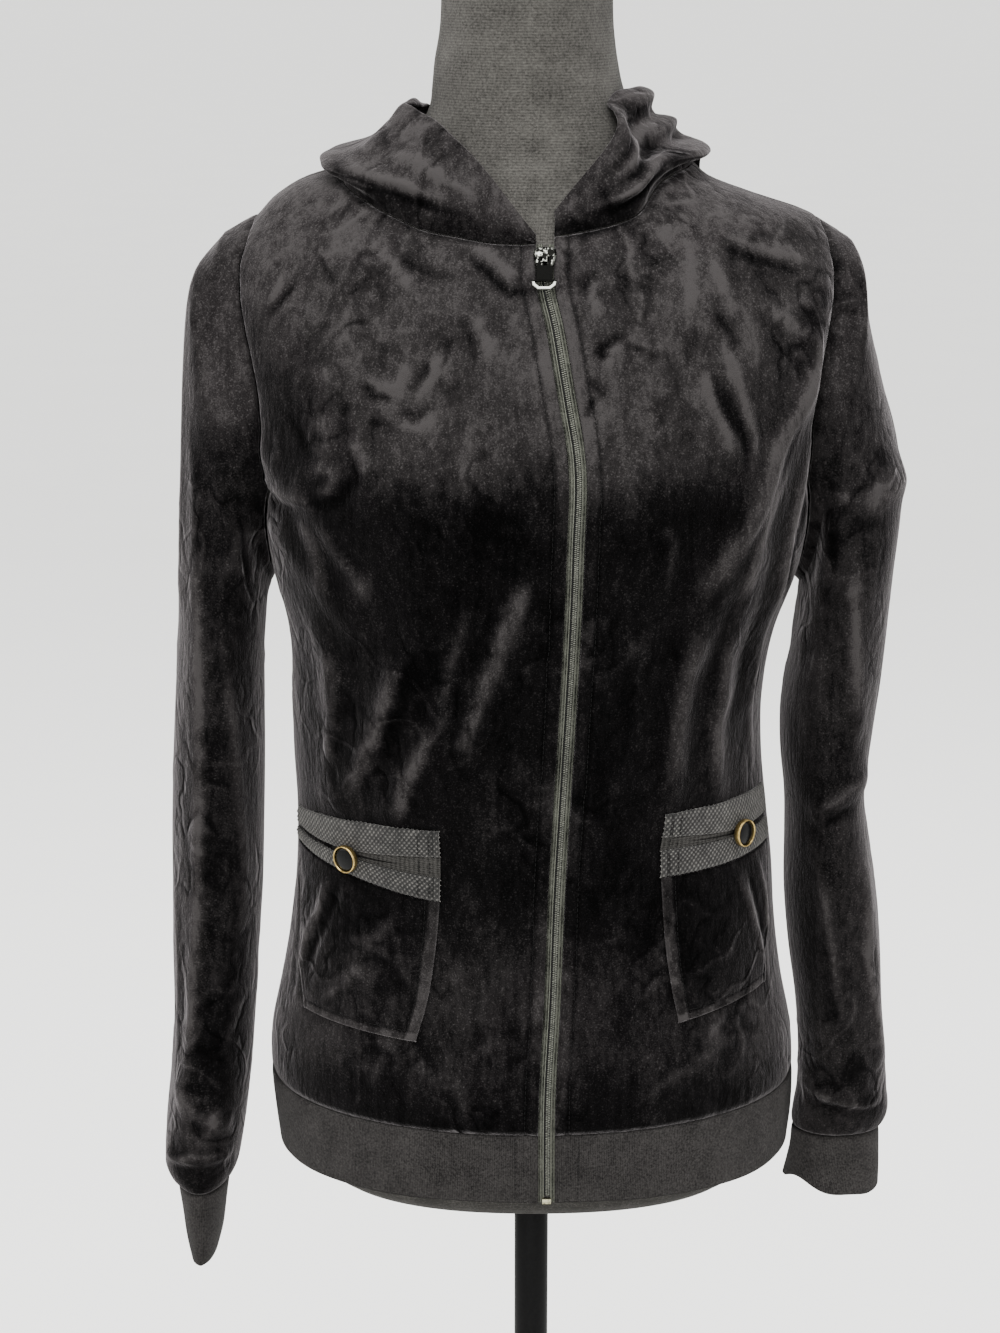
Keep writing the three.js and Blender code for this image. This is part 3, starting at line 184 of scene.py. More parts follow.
SLEEVES = {
    # outer x, outer z, inner x, inner z, front y, back y, roundness
    "right": [
      [184, 1319, 161, 1107.5, -54, 57, 2.2], [197, 1302, 162.5, 1102, -54, 59, 2.3],
      [202.5, 1278, 164, 1095, -53, 60, 2.3],
      [207.5, 1235, 165, 1086, -51, 60, 2.2], [212, 1180, 166, 1075, -49, 59, 2.2],
      [216, 1120, 167, 1060, -47, 57, 2.1],
      [220.5, 1056, 167.5, 1034, -46, 56, 2.1], [224.5, 1002, 168, 998, -45, 54, 2.1],
      [227, 952, 169.5, 952, -43, 52, 2.1],
      [228, 908, 171.5, 908, -42, 50, 2.1], [229, 868, 175, 868, -41, 47, 2.1],
      [230, 828, 177.5, 828, -40, 45, 2.1],
      [232.5, 790, 181, 790, -38, 42, 2.1], [236, 756, 185.5, 756, -37, 39, 2.1],
      [238.5, 733, 189, 733, -36, 37, 2.1],
      [238, 718, 192, 718, -34.5, 35.5, 2.1], [232, 707.5, 197, 707.5, -33, 34, 2.1],
    ],
    "left": [
      [184, 1318, 163, 1107.5, -54, 57, 2.2], [190, 1307, 164, 1101, -54, 59, 2.2],
      [196, 1278, 164, 1093, -53, 60, 2.2],
      [207, 1238, 163.5, 1083, -51, 60, 2.2], [219, 1196, 161.5, 1072, -49, 59, 2.2],
      [223.5, 1162, 160, 1058, -48, 57, 2.1],
      [219.5, 1112, 157, 1042, -47, 56, 2.1], [216, 1062, 155, 1022, -46, 55, 2.1],
      [211, 1012, 155.5, 998, -45, 53, 2.1],
      [207.5, 974, 159, 968, -44, 52, 2.1], [212, 940, 160, 940, -43, 51, 2.1],
      [218, 904, 160.5, 904, -42, 49, 2.1],
      [221.5, 868, 164, 868, -41, 47, 2.1], [224, 832, 169.5, 832, -39, 44, 2.1],
      [227.5, 798, 172.5, 798, -35, 40, 2.1],
      [230, 771, 172.5, 771, -30, 34, 2.1], [231.5, 756, 170.5, 756, -26, 30, 2.1],
      [227.5, 743.5, 169, 743.5, -21.5, 25, 2.1],
    ],
}
CUFFS = {
    "right": [
      [231.5, 707, 197.5, 707, -32.5, 33.5, 2], [229, 689, 200.3, 689, -32, 33, 2],
      [226.7, 671, 203, 671, -31, 32, 2], [223, 654, 207, 656, -29.5, 30.5, 2],
    ],
    "left": [
      [226.7, 743, 170, 743, -21, 24.5, 2], [227, 728, 169, 729, -20, 23, 2],
      [227.3, 713, 167, 719, -20, 23, 2], [227.3, 698, 164.5, 709, -21, 24, 2],
    ],
}
SLEEVE_FOLDS = {
    # start turn, start ring, end turn, end ring, half width, height
    "right": [
      [60, 4.5, 78, 9, 11, 2.6], [78, 9, 62, 13.5, 11, 2.6], [20, 2, 34, 6, 12, 2.2],
      [50, 13.2, 120, 13.9, 9, 2.6],
      [40, 15, 130, 14.9, 8, 2.4], [250, 5, 280, 10, 12, 2.4], [310, 8, 290, 13, 12, 2.2],
      [100, 6, 130, 10, 12, 2.2],
    ],
    "left": [
      [20, 5.6, 80, 4.2, 11, 3.2], [100, 5, 70, 8.5, 11, 3.0], [40, 9.6, 110, 9.9, 10, 2.8],
      [50, 11.5, 40, 14.8, 11, 2.6],
      [110, 11, 96, 14, 11, 2.2], [60, 16, 150, 15.6, 8, 2.2], [250, 6, 285, 10.5, 12, 2.6],
      [300, 9, 260, 13, 12, 2.4],
    ],
}
HOOD = {
    "right": {
      0: [[0, 0], [0, 5]],
      9: [[0, 0], [1, 12], [-1, 24], [-6, 36]],
      22: [[0, 0], [1, 10], [0, 20], [-4, 30], [-11, 42], [-22, 53]],
      40: [[0, 0], [0.5, 3.5], [1.5, 5.5], [2.5, 6.5], [3.5, 7.5], [4, 9], [3.5, 11], [2.5, 13], [0.5, 15],
        [-3, 17.5], [-8, 21], [-13, 26], [-18, 32], [-24, 39], [-29, 46], [-33, 51]],
      60: [[0, 0], [0.5, 4], [2, 5.5], [4, 5.5], [6, 5], [8, 5], [10, 5.2], [11.5, 7], [8.5, 9.5], [2, 11.5],
        [-5, 14.5], [-12, 19], [-20, 26], [-28, 34], [-34, 41], [-38.5, 43]],
      90: [[0, 0], [1, 5], [5, 5.7], [9, 4.7], [13, 3.7], [17, 3], [20, 2.6], [23, 3.8], [19, 7], [10, 9.5],
        [0, 12.5], [-9, 17], [-18, 25], [-26, 33], [-32, 36.5], [-37, 32]],
      110: [[0, 0], [1, 5.5], [6, 5], [11, 3.5], [15, 2], [19, 0.5], [23, -1], [26, -1.7], [25, 2], [19, 5],
        [10, 8], [1, 12], [-7, 17], [-15, 24], [-21, 29], [-27, 30]],
      135: [[0, 0], [2, 6], [7, 5], [14, -5], [22, -15], [31, -28], [41, -42], [48, -54], [55, -53],
        [57, -42], [54, -29], [46, -14], [34, 0], [21, 10], [8, 17], [-5, 22]],
      160: [[0, 0], [2, 7], [8, 6.5], [17, -17], [28, -45], [39, -78], [48, -112], [54, -142], [61, -144],
        [66, -131], [67, -104], [64, -72], [56, -42], [44, -16], [30, 4], [15, 17]],
      180: [[0, 0], [2, 7], [9, 5.5], [18, -28], [32, -65], [43, -105], [50, -150], [54, -190], [61, -196],
        [68, -184], [70, -150], [68, -108], [63, -70], [56, -36], [46, -6], [34, 16]],
    },
    "left": {
      0: [[0, 0], [0, 4]],
      9: [[0, 0], [1, 10], [-1, 20], [-5, 29]],
      22: [[0, 0], [2, 7], [3, 14], [0, 20], [-4, 28], [-7, 38], [-16, 48]],
      40: [[0, 0], [0.5, 3.5], [1.5, 5.5], [3, 6.5], [4.5, 7.5], [5.5, 9], [5.5, 11.5], [4, 14], [1, 16],
        [-3, 18], [-9, 20], [-13, 25], [-17, 31], [-19, 39], [-25, 45], [-35, 49]],
      60: [[0, 0], [0.5, 4], [2, 5.5], [3.5, 5.7], [5, 5.8], [6.5, 6], [8, 6.5], [9.5, 8.5], [6.5, 11.5],
        [-1, 13.5], [-8, 17], [-11, 24], [-20, 29], [-20, 39], [-27.5, 45], [-35.5, 46]],
      90: [[0, 0], [0.5, 5], [2, 6], [3.8, 5.6], [5.5, 5.2], [7, 4.8], [8.5, 4.6], [12, 5.5], [10.5, 9],
        [2, 12], [-10, 13.5], [-8, 24.5], [-22, 28.5], [-21, 38.5], [-28.5, 42.5], [-37, 41]],
      110: [[0, 0], [0.5, 5.5], [3.5, 5.5], [7, 4.2], [10, 2.6], [13, 1], [16, -0.5], [19.5, -0.5],
        [18, 3.5], [12, 7], [6, 12], [0, 17], [-8, 21], [-14, 28], [-21, 33], [-29, 35]],
      135: [[0, 0], [2, 6], [7, 5], [14, -5], [21, -15], [29, -28], [37, -41], [43, -52], [50, -52],
        [53, -42], [50, -29], [43, -14], [32, 0], [20, 11], [8, 19], [-5, 25]],
      160: [[0, 0], [2, 7], [8, 6.5], [17, -17], [28, -45], [39, -78], [48, -112], [54, -142], [61, -144],
        [66, -131], [67, -104], [64, -72], [56, -42], [44, -16], [30, 5], [15, 18]],
      180: [[0, 0], [2, 7], [9, 5.5], [18, -28], [32, -65], [43, -105], [50, -150], [54, -190], [61, -196],
        [68, -184], [70, -150], [68, -108], [63, -70], [56, -36], [46, -6], [34, 16]],
    },
}
FORM_ROOM = [
    # z, room
    [770, 9], [786, 8], [850, 7], [930, 5.5], [1000, 5], [1112, 5], [1200, 5.2], [1290, 5], [1331, 4.6],
    [1361, 4.2],
    [1376, 3.4], [1470, 3.2],
]
FORM_END = [
    # z, share of the full section
    [768, 0.96], [752, 0.955], [738, 0.945], [727, 0.92], [719, 0.875], [714, 0.8], [712, 0.7],
]
BUTTONS = {"right": [-47, 952.5], "left": [56, 964]}

# Fine creases of the body cloth: half width, height, then angle and z along the line
BODY_CREASES = [
    [2.8, -1.7, (-48, 1301), (-49, 1294), (-52, 1286), (-57, 1274)],
    [2.8, 1.1, (-51, 1303), (-52, 1295), (-55, 1284)],
    [2.6, -1.5, (-20, 1260), (-20, 1252), (-24, 1240)],
    [2.6, 1.2, (-18, 1262), (-18, 1252), (-22, 1240)],
    [2.6, 1.0, (-23, 1258), (-25, 1246), (-25, 1238)],
    [2.6, -1.6, (-33, 1245), (-30, 1239), (-26, 1238)],
    [2.6, 1.1, (-32, 1251), (-29, 1244), (-25, 1243)],
    [2.6, -1.5, (-32, 1225), (-29, 1224), (-26, 1220)],
    [2.6, -1.2, (-25, 1232), (-22, 1229), (-19, 1236)],
    [2.6, 1.0, (-26, 1225), (-22, 1223), (-18, 1230)],
    [2.8, -1.1, (-29, 1265), (-27, 1263)],
    [3.0, -1.1, (-14, 1284), (-12, 1272), (-10, 1256)],
    [3.0, 1.0, (-11, 1285), (-9, 1272), (-8, 1256)],
    [2.8, -1.4, (-13, 1316), (-9, 1307), (-5, 1295), (0, 1298)],
    [3.5, 1.0, (-12, 1321), (-7, 1311), (-3, 1302)],
    [3.5, -1.0, (-27, 1315), (-20, 1306), (-14, 1303)],
    [3.0, 1.0, (-34, 1328), (-26, 1310), (-22, 1294)],
    [2.8, -1.6, (-73, 1180), (-64, 1169), (-54, 1167), (-48, 1168)],
    [3.0, 1.6, (-73, 1189), (-65, 1177), (-55, 1176), (-49, 1177), (-45, 1167)],
    [2.8, -1.7, (-49, 1177), (-43, 1175), (-39, 1180), (-35, 1192), (-36, 1208)],
    [2.8, 1.4, (-46, 1191), (-43, 1197), (-40, 1193), (-42, 1183), (-46, 1183)],
    [2.6, 1.2, (-37, 1213), (-33, 1206), (-34, 1194)],
    [5.0, 1.9, (-46, 1169), (-42, 1149), (-37, 1134), (-36, 1119)],
    [2.8, -1.4, (-43, 1158), (-38, 1141), (-36, 1131)],
    [7.0, 1.8, (-51, 1165), (-49, 1145), (-48, 1114)],
    [3.0, -1.3, (-53, 1226), (-48, 1216), (-45, 1197)],
    [2.8, -1.7, (16, 1276), (13, 1270), (11, 1265), (13, 1258)],
    [2.6, 1.3, (15, 1269), (13, 1264), (12, 1254)],
    [2.6, -1.5, (9, 1250), (11, 1245), (13, 1240)],
    [2.6, -1.2, (10, 1241), (9, 1228)],
    [2.8, -1.2, (11, 1307), (9, 1303), (8, 1295)],
    [2.8, 1.0, (10, 1303), (10, 1291), (11, 1280)],
    [3.2, -1.4, (32, 1284), (35, 1273), (37, 1257)],
    [3.0, -1.4, (31, 1254), (35, 1234), (40, 1213), (42, 1198)],
    [3.2, 1.5, (33, 1274), (37, 1247), (42, 1214), (43, 1190)],
    [3.2, 1.3, (30, 1255), (33, 1230), (39, 1202)],
    [3.0, -1.2, (43, 1281), (48, 1262), (55, 1247)],
    [3.0, 1.1, (44, 1286), (51, 1272), (60, 1263)],
    [3.4, -1.2, (35, 1321), (42, 1311), (58, 1301)],
    [3.4, 1.0, (37, 1325), (43, 1316), (59, 1307)],
    [3.4, 1.2, (32, 1315), (34, 1297), (36, 1278)],
    [3.4, 1.0, (29, 1327), (28, 1306), (27, 1279)],
    [7.0, 2.4, (62, 1277), (60, 1250), (54, 1223), (49, 1206), (46, 1177), (38, 1144), (33, 1119)],
    [3.4, -1.4, (55, 1220), (52, 1199), (48, 1171), (43, 1143)],
    [6.0, 2.2, (53, 1200), (49, 1175), (46, 1146), (45, 1115)],
    [6.0, 2.2, (62, 1203), (61, 1170), (59, 1136), (64, 1097)],
    [3.4, -1.5, (67, 1198), (66, 1168), (64, 1133), (77, 1090)],
    [3.0, 1.0, (23, 1170), (27, 1159), (26, 1129)],
    [5.5, 2.2, (-1, 1141), (-4, 1120), (-7, 1101), (-12, 1064), (-18, 1023)],
    [5.5, 2.2, (-30, 1085), (-34, 1059), (-38, 1032), (-47, 992)],
    [5.0, 2.0, (-23, 1043), (-28, 1016), (-33, 981)],
    [3.6, -1.2, (-24, 1099), (-30, 1060), (-36, 1020)],
    [6.0, 1.8, (-52, 1089), (-49, 1056), (-54, 998)],
    [3.2, 1.1, (-13, 1125), (-18, 1088), (-21, 1056)],
    [6.0, 1.8, (46, 1102), (47, 1057), (48, 988)],
    [6.0, 1.8, (61, 1091), (62, 1052), (68, 1004)],
    [6.0, 1.8, (36, 1111), (35, 1059), (34, 994)],
    [3.5, 1.0, (-14, 812), (-22, 824), (-26, 836)],
    [3.5, 0.9, (22, 806), (30, 818), (44, 832)],
    [3.5, 0.9, (66, 930), (68, 880), (66, 830)],
    [3.5, 0.9, (-78, 940), (-74, 890), (-70, 840)],
    [4.5, 1.3, (160, 1190), (157, 1120), (150, 1050)],
    [4.5, 1.3, (-160, 1180), (-155, 1110), (-149, 1040)],
    [4.5, 1.2, (121, 1135), (128, 1080), (133, 1010)],
    [4.5, 1.2, (-121, 1125), (-130, 1065), (-135, 1000)],
    [4.0, 1.0, (178, 1050), (172, 990), (168, 930)],
    [4.0, 1.0, (-141, 965), (-130, 930), (-118, 905)],
    [4.0, 1.0, (137, 955), (127, 920), (116, 893)],
    [4.0, 0.9, (165, 1290), (150, 1262), (140, 1230)],
    [4.0, 0.9, (-168, 1285), (-152, 1258), (-141, 1222)],
]

# Fine creases of the sleeves: half width, height, then turn and ring along the line
SLEEVE_CREASES = {
    "right": [
        [5, 1.6, (62, 4.6), (76, 7), (78, 9), (70, 11.5), (62, 13.5)],
        [4, 1.2, (22, 2), (28, 4), (35, 6)],
        [4, 1.3, (52, 13.1), (80, 13.6), (122, 13.9)],
        [4, 1.2, (42, 15.1), (85, 14.8), (130, 14.8)],
        [4, 1.1, (100, 6), (120, 8), (132, 10)],
        [4, 1.0, (30, 9.5), (40, 11), (36, 13)],
        [4, -1.1, (110, 2.2), (125, 3.4), (140, 4.2)],
        [5, 1.4, (250, 5), (270, 7.5), (280, 10)],
        [5, 1.3, (310, 8), (300, 10.5), (290, 13)],
    ],
    "left": [
        [4.5, 1.7, (20, 5.7), (50, 5.1), (80, 4.2)],
        [4.5, 1.5, (100, 5), (88, 6.6), (70, 8.5)],
        [3.5, 1.4, (40, 9.5), (75, 9.6), (110, 9.9)],
        [3.5, -1.2, (44, 9.9), (75, 10.0), (106, 10.2)],
        [4, 1.3, (50, 11.5), (58, 13), (40, 14.8)],
        [4, 1.2, (110, 11), (100, 12.6), (96, 14)],
        [3.5, 1.2, (60, 16.2), (100, 15.9), (150, 15.6)],
        [4, -1.1, (120, 2.0), (110, 3.4), (112, 4.6)],
        [5, 1.4, (250, 6), (272, 8), (285, 10.5)],
        [5, 1.3, (300, 9), (280, 11), (260, 13)],
    ],
}

# Creases of the pocket patches, in angle and z
POCKET_CREASES = {
    "right": [
        [5, 2.0, (-53, 940), (-57, 915), (-63, 890), (-66, 862)],
        [4, -1.3, (-49, 935), (-53, 910), (-58, 888), (-61, 866)],
        [4, 1.1, (-32, 925), (-37, 905), (-43, 902), (-33, 900)],
        [4, 0.9, (-40, 890), (-46, 872), (-52, 858)],
    ],
    "left": [
        [4, 1.7, (52, 944), (57, 915), (61, 890), (64, 868)],
        [4, 1.6, (62, 946), (66, 915), (68, 885)],
        [3.5, -1.1, (57, 942), (61, 912), (65, 885)],
        [4, 0.9, (36, 885), (37, 868), (39, 858)],
    ],
}

# Fine folds of the hood: half width, height, then angle from the centre front and level above the seam
HOOD_CREASES = {
    "right": [
        [5, -1.6, (14, 3.4), (30, 5), (48, 7.4), (62, 9.2)],
        [5, 1.4, (18, 5.5), (34, 7.4), (52, 9.6)],
        [4, -1.0, (36, 11.5), (52, 12.2), (66, 12.4)],
        [4, 1.2, (12, 8), (24, 10), (38, 11.4)],
    ],
    "left": [
        [5, -1.8, (10, 2.4), (26, 4.6), (48, 7.6), (64, 9)],
        [5, 1.6, (12, 4.6), (30, 6.4), (52, 9)],
        [5, -1.6, (14, 7.4), (32, 9.4), (60, 10.4)],
        [5, 1.4, (16, 9.2), (34, 11.2), (62, 11.6)],
        [4, -1.2, (14, 11.2), (34, 12.8), (60, 12.6)],
    ],
}


# Smooth reading of samples ys at places xs, for many places at once
def read_many(xs, ys, at):
    xs = np.asarray(xs, float)
    ys = np.asarray(ys, float)
    at = np.clip(np.asarray(at, float), xs[0], xs[-1])
    step = np.diff(xs)
    wide = step.reshape(-1, *[1] * (ys.ndim - 1))
    slope = np.diff(ys, axis=0) / wide
    tangent = np.concatenate([slope[:1], slope[-1:]]) if len(xs) == 2 else np.concatenate([
        slope[:1], (slope[:-1] * wide[1:] + slope[1:] * wide[:-1]) / (wide[:-1] + wide[1:]), slope[-1:]])
    i = np.clip(np.searchsorted(xs, at, side="left") - 1, 0, len(xs) - 2)
    shape = at.shape + (1,) * (ys.ndim - 1)
    t = ((at - xs[i]) / step[i]).reshape(shape)
    h = step[i].reshape(shape)
    return ((1 + 2 * t) * (1 - t) ** 2 * ys[i] + t * (1 - t) ** 2 * h * tangent[i]
            + t * t * (3 - 2 * t) * ys[i + 1] + t * t * (t - 1) * h * tangent[i + 1])


def read(table, at, column=1):
    rows = np.array(table, float)
    return read_many(rows[:, 0], rows[:, column], at)


# A grid read between its rows and columns
def grid_read(grid, rows, columns):
    lines = read_many(np.arange(grid.shape[0]), grid, rows)
    return np.moveaxis(read_many(np.arange(grid.shape[1]), np.moveaxis(lines, 1, 0), columns), 0, 1)


def steps(first, last, per_unit):
    return np.linspace(first, last, int(round((last - first) * per_unit)) + 1)


def unit(vectors):
    size = np.linalg.norm(vectors, axis=-1, keepdims=True)
    return vectors / np.where(size == 0, 1, size)


def mix(a, b, t):
    return a + (b - a) * t


# Height of soft ridges from a table of straight folds
def ridges(folds, a, b, scale_a, scale_b):
    height = np.zeros(np.broadcast(a, b).shape)
    for a0, b0, a1, b1, width, rise in folds:
        along = ((a1 - a0) * scale_a, (b1 - b0) * scale_b)
        from_a = (a - a0) * scale_a
        from_b = (b - b0) * scale_b
        t = np.clip((from_a * along[0] + from_b * along[1]) / (along[0] ** 2 + along[1] ** 2), 0, 1)
        away = np.hypot(from_a - along[0] * t, from_b - along[1] * t)
        height = height + rise * np.exp(-(away / width) ** 2)
    return height


# Height of creases along bent lines, fading out at both ends
def creases(table, a, b, scale_a, scale_b):
    height = np.zeros(np.broadcast(a, b).shape)
    for width, rise, *line in table:
        best = np.full(height.shape, 1e9)
        place = np.zeros(height.shape)
        for k, ((a0, b0), (a1, b1)) in enumerate(zip(line[:-1], line[1:])):
            along = ((a1 - a0) * scale_a, (b1 - b0) * scale_b)
            from_a = (a - a0) * scale_a
            from_b = (b - b0) * scale_b
            t = np.clip((from_a * along[0] + from_b * along[1]) / (along[0] ** 2 + along[1] ** 2), 0, 1)
            away = np.hypot(from_a - along[0] * t, from_b - along[1] * t)
            near = away < best
            best = np.where(near, away, best)
            place = np.where(near, (k + t) / (len(line) - 1), place)
        fade = np.clip(np.minimum(place, 1 - place) * 5, 0.15, 1)
        height += rise * fade * np.exp(-(best / width) ** 2)
    return height


# Smooth noise from -1 to 1 on points in millimetres
def noise(points, size, seed):
    place = points / size + seed * 7.31
    cell = np.floor(place).astype(np.int64)
    t = place - cell
    t = t * t * (3 - 2 * t)
    total = np.zeros(points.shape[:-1])
    for corner in itertools.product((0, 1), repeat=3):
        c = cell + np.array(corner)
        key = (c[..., 0] * 73856093) ^ (c[..., 1] * 19349663) ^ (c[..., 2] * 83492791) ^ (seed * 9176131)
        key = (key ^ (key >> 13)) * 1274126177
        value = ((key ^ (key >> 16)) & 0xFFFF) / 32767.5 - 1
        share = np.prod(np.where(np.array(corner) == 1, t, 1 - t), axis=-1)
        total += value * share
    return total


# Thin worm-like lines, as crushed pile shows, from 0 to 1
def crush_lines(points, size, seed, sharp=9):
    bent = points + 0.35 * size * np.stack([noise(points, size * 0.8, seed + k) for k in (1, 2, 3)], -1)
    return np.exp(-(noise(bent, size, seed) * sharp) ** 2)


# Crumple height and nap lightness that every velour piece shares
def crumple(points):
    soft = noise(points, 60, 11)
    patches = np.clip(noise(points, 85, 12) * 1.4 + 0.25, 0, 1)
    lines = crush_lines(points, 34, 21) * patches
    small = crush_lines(points, 17, 31, 7) * np.clip(noise(points, 55, 32) * 1.6, 0, 1)
    height = 0.5 * soft + 0.55 * lines + 0.35 * small
    nap_and_painted_light = 0.38 + 0.12 * soft + 0.12 * lines + 0.1 * small + 0.08 * noise(points, 22, 41)
    return height, nap_and_painted_light


# Outer face of the cloth round the form: angle from the centre front (left above zero) and z
def smooth_body(angle, z):
    angle, z = np.broadcast_arrays(np.asarray(angle, float), np.asarray(z, float))
    s = np.sin(np.radians(angle))
    c = np.cos(np.radians(angle))
    power = read(BODY, z, 6)
    middle = read(BODY, z, 5)
    width = np.where(s > 0, read(BODY, z, 2), read(BODY, z, 1))
    depth = np.where(c > 0, read(BODY, z, 3) + middle, read(BODY, z, 4) - middle)
    rounded = (abs(s) ** power + abs(c) ** power) ** (-1 / power)
    x = width * s * rounded
    y = middle - depth * c * rounded
    share = np.clip(c * 3, 0, 1)
    for bx, bz, rise, half, tall in BUST:
        y = y - share * rise * np.exp(-((x - bx) / half) ** 2 - ((z - bz) / tall) ** 2)
    return np.stack([x, y, z], -1)


def normal_of(surface, a, b, da, db):
    return unit(np.cross(surface(a + da, b) - surface(a - da, b), surface(a, b + db) - surface(a, b - db)))


def smooth_normal(angle, z):
    return normal_of(smooth_body, angle, z, 0.5, 1.0)


def body(angle, z):
    turned = np.where(np.asarray(angle) > 180, np.asarray(angle) - 360, angle)
    height = ridges(BODY_FOLDS, turned, z, 2.6, 1)
    return smooth_body(angle, z) + smooth_normal(angle, z) * height[..., None]


def body_normal(angle, z):
    return normal_of(body, angle, z, 0.8, 2.0)


# Painted light from above: the nap is made lighter where the cloth tilts up towards the lamp and darker where
# it faces down
def painted_light_from_above(normals):
    t = np.clip((normals[..., 2] + 0.1) / 0.42, 0, 1)
    return 0.5 * t * t * (3 - 2 * t) - 0.12


# The body cloth with its fine creases: points and nap lightness, which holds painted light from above and
# painted highlights and shade on the creases
def dressed_body(angle, z, fine=1.0):
    turned = np.where(angle > 180, angle - 360, angle)
    base = body(angle, z)
    height, nap_and_painted_light = crumple(base)
    crease = creases(BODY_CREASES, turned, z, 2.6, 1)
    points = base + smooth_normal(angle, z) * ((height + crease) * fine)[..., None]
    # Painted highlights on the crease ridges and painted shade in their troughs
    painted_crease_light = 0.26 * np.clip(crease, -1.5, 0) + 0.3 * np.clip(crease, 0, 1.8)
    return points, nap_and_painted_light + painted_crease_light + painted_light_from_above(smooth_normal(angle, z))


def angle_at(x, z):
    low = np.full(np.shape(z), -60.0)
    high = np.full(np.shape(z), 60.0)
    for turn in range(40):
        middle = (low + high) / 2
        left = smooth_body(middle, z)[..., 0] < x
        low = np.where(left, middle, low)
        high = np.where(left, high, middle)
    return (low + high) / 2


def side_sign(side):
    return 1 if side == "left" else -1


def zip_angle(side, z):
    z = np.asarray(z, float)
    return angle_at(read(ZIP_PATH, z) + side_sign(side) * ZIP_HALF, z)


SIDE_ROWS = len(ROWS["right"])
ALL_ROWS = SIDE_ROWS + len(UPPER_ROWS)
BACK_COLUMNS = 18


def side_z(j):
    return ROWS["right"][j][4] if j < SIDE_ROWS else UPPER_ROWS[j - SIDE_ROWS][0]


# Angle and z of a front panel's grid, column 0 at the zip and row 0 at the hem band
def front_grid(side):
    turn = side_sign(side)
    grid = np.zeros((ALL_ROWS, len(FRONT_SHARES), 2))
    for j in range(ALL_ROWS):
        upper = None if j < SIDE_ROWS else UPPER_ROWS[j - SIDE_ROWS]
        zip_z = upper[1] if upper else ROWS[side][j][0]
        limit = upper[3] if upper else 90
        start = turn * float(zip_angle(side, zip_z))
        anchors = [start, float(read(POCKET_EDGES[side], zip_z, 1)) * limit / 90,
                   float(read(POCKET_EDGES[side], zip_z, 2)) * limit / 90, limit]
        for i, share in enumerate(FRONT_SHARES):
            cell = min(int(share), 2)
            angle = mix(anchors[cell], anchors[cell + 1], share - cell)
            if upper:
                reach = (angle - start) / (limit - start)
                z = mix(zip_z, upper[0], float(read(NECK_CLIMB[side], reach)))
                if i == len(FRONT_SHARES) - 1:
                    z = upper[0]
                if i == 0:
                    angle = turn * float(zip_angle(side, z))
            else:
                heights = ROWS[side][j]
                z = float(read([[0, heights[0]], [1, heights[1]], [1.5, heights[2]], [2, heights[3]],
                                [3, heights[4]]], share))
            grid[j, i] = turn * angle, z
    return grid


def back_grid():
    grid = np.zeros((ALL_ROWS, BACK_COLUMNS + 1, 2))
    for j in range(ALL_ROWS):
        upper = None if j < SIDE_ROWS else UPPER_ROWS[j - SIDE_ROWS]
        edge = upper[4] if upper else 90
        for i in range(BACK_COLUMNS + 1):
            share = i / BACK_COLUMNS
            reach = 1 - abs(2 * share - 1)
            z = mix(upper[0], upper[2], float(read(NECK_CLIMB["back"], reach))) if upper else side_z(j)
            grid[j, i] = mix(edge, 360 - edge, share), z
    return grid


FRONT = {side: front_grid(side) for side in ("left", "right")}
BACK = back_grid()


# Grid of points to normals that face away from a middle
def grid_normals(points, ring, middle):
    if ring:
        across = np.roll(points, -1, 1) - np.roll(points, 1, 1)
    else:
        across = np.gradient(points, axis=1)
    normal = unit(np.cross(across, np.gradient(points, axis=0)))
    if np.sum(normal * (points - middle)) < 0:
        normal = -normal
    return normal


# Distance in millimetres from each point of a grid to one of its edges, along the grid's lines
def edge_distance(points, edge):
    target = {"first_column": points[:, :1], "last_column": points[:, -1:],
              "first_row": points[:1], "last_row": points[-1:]}[edge]
    return np.linalg.norm(points - target, axis=-1)


def valley(points, edges, depth=0.8, width=3.0):
    sink = np.zeros(points.shape[:2])
    for edge in edges:
        sink = np.maximum(sink, depth * np.exp(-(edge_distance(points, edge) / width) ** 2))
    return sink


# A mesh object from points in millimetres
def add_mesh(name, points, faces, look, uv=None, nap_and_painted_light=None, smooth=True, ride_on="garment"):
    mesh = bpy.data.meshes.new(name)
    mesh.from_pydata((np.asarray(points) * MM).tolist(), [], np.asarray(faces).tolist()
                     if isinstance(faces, np.ndarray) else faces)
    mesh.validate()
    mesh.polygons.foreach_set("use_smooth", [smooth] * len(mesh.polygons))
    if uv is not None:
        index = np.zeros(len(mesh.loops), np.int32)
        mesh.loops.foreach_get("vertex_index", index)
        mesh.uv_layers.new(name="cloth").data.foreach_set("uv", np.asarray(uv, np.float32)[index].ravel())
    # The nap attribute holds the cloth's tone together with its painted light and painted shade
    if nap_and_painted_light is not None:
        mesh.attributes.new("nap_and_painted_light", "FLOAT", "POINT").data.foreach_set("value", np.asarray(nap_and_painted_light, np.float32))
    obj = bpy.data.objects.new(f"{name}_cover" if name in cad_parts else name, mesh)
    bpy.context.scene.collection.objects.link(obj)
    mesh.materials.append(LOOKS[look])
    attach(obj, ride_on)
    return obj


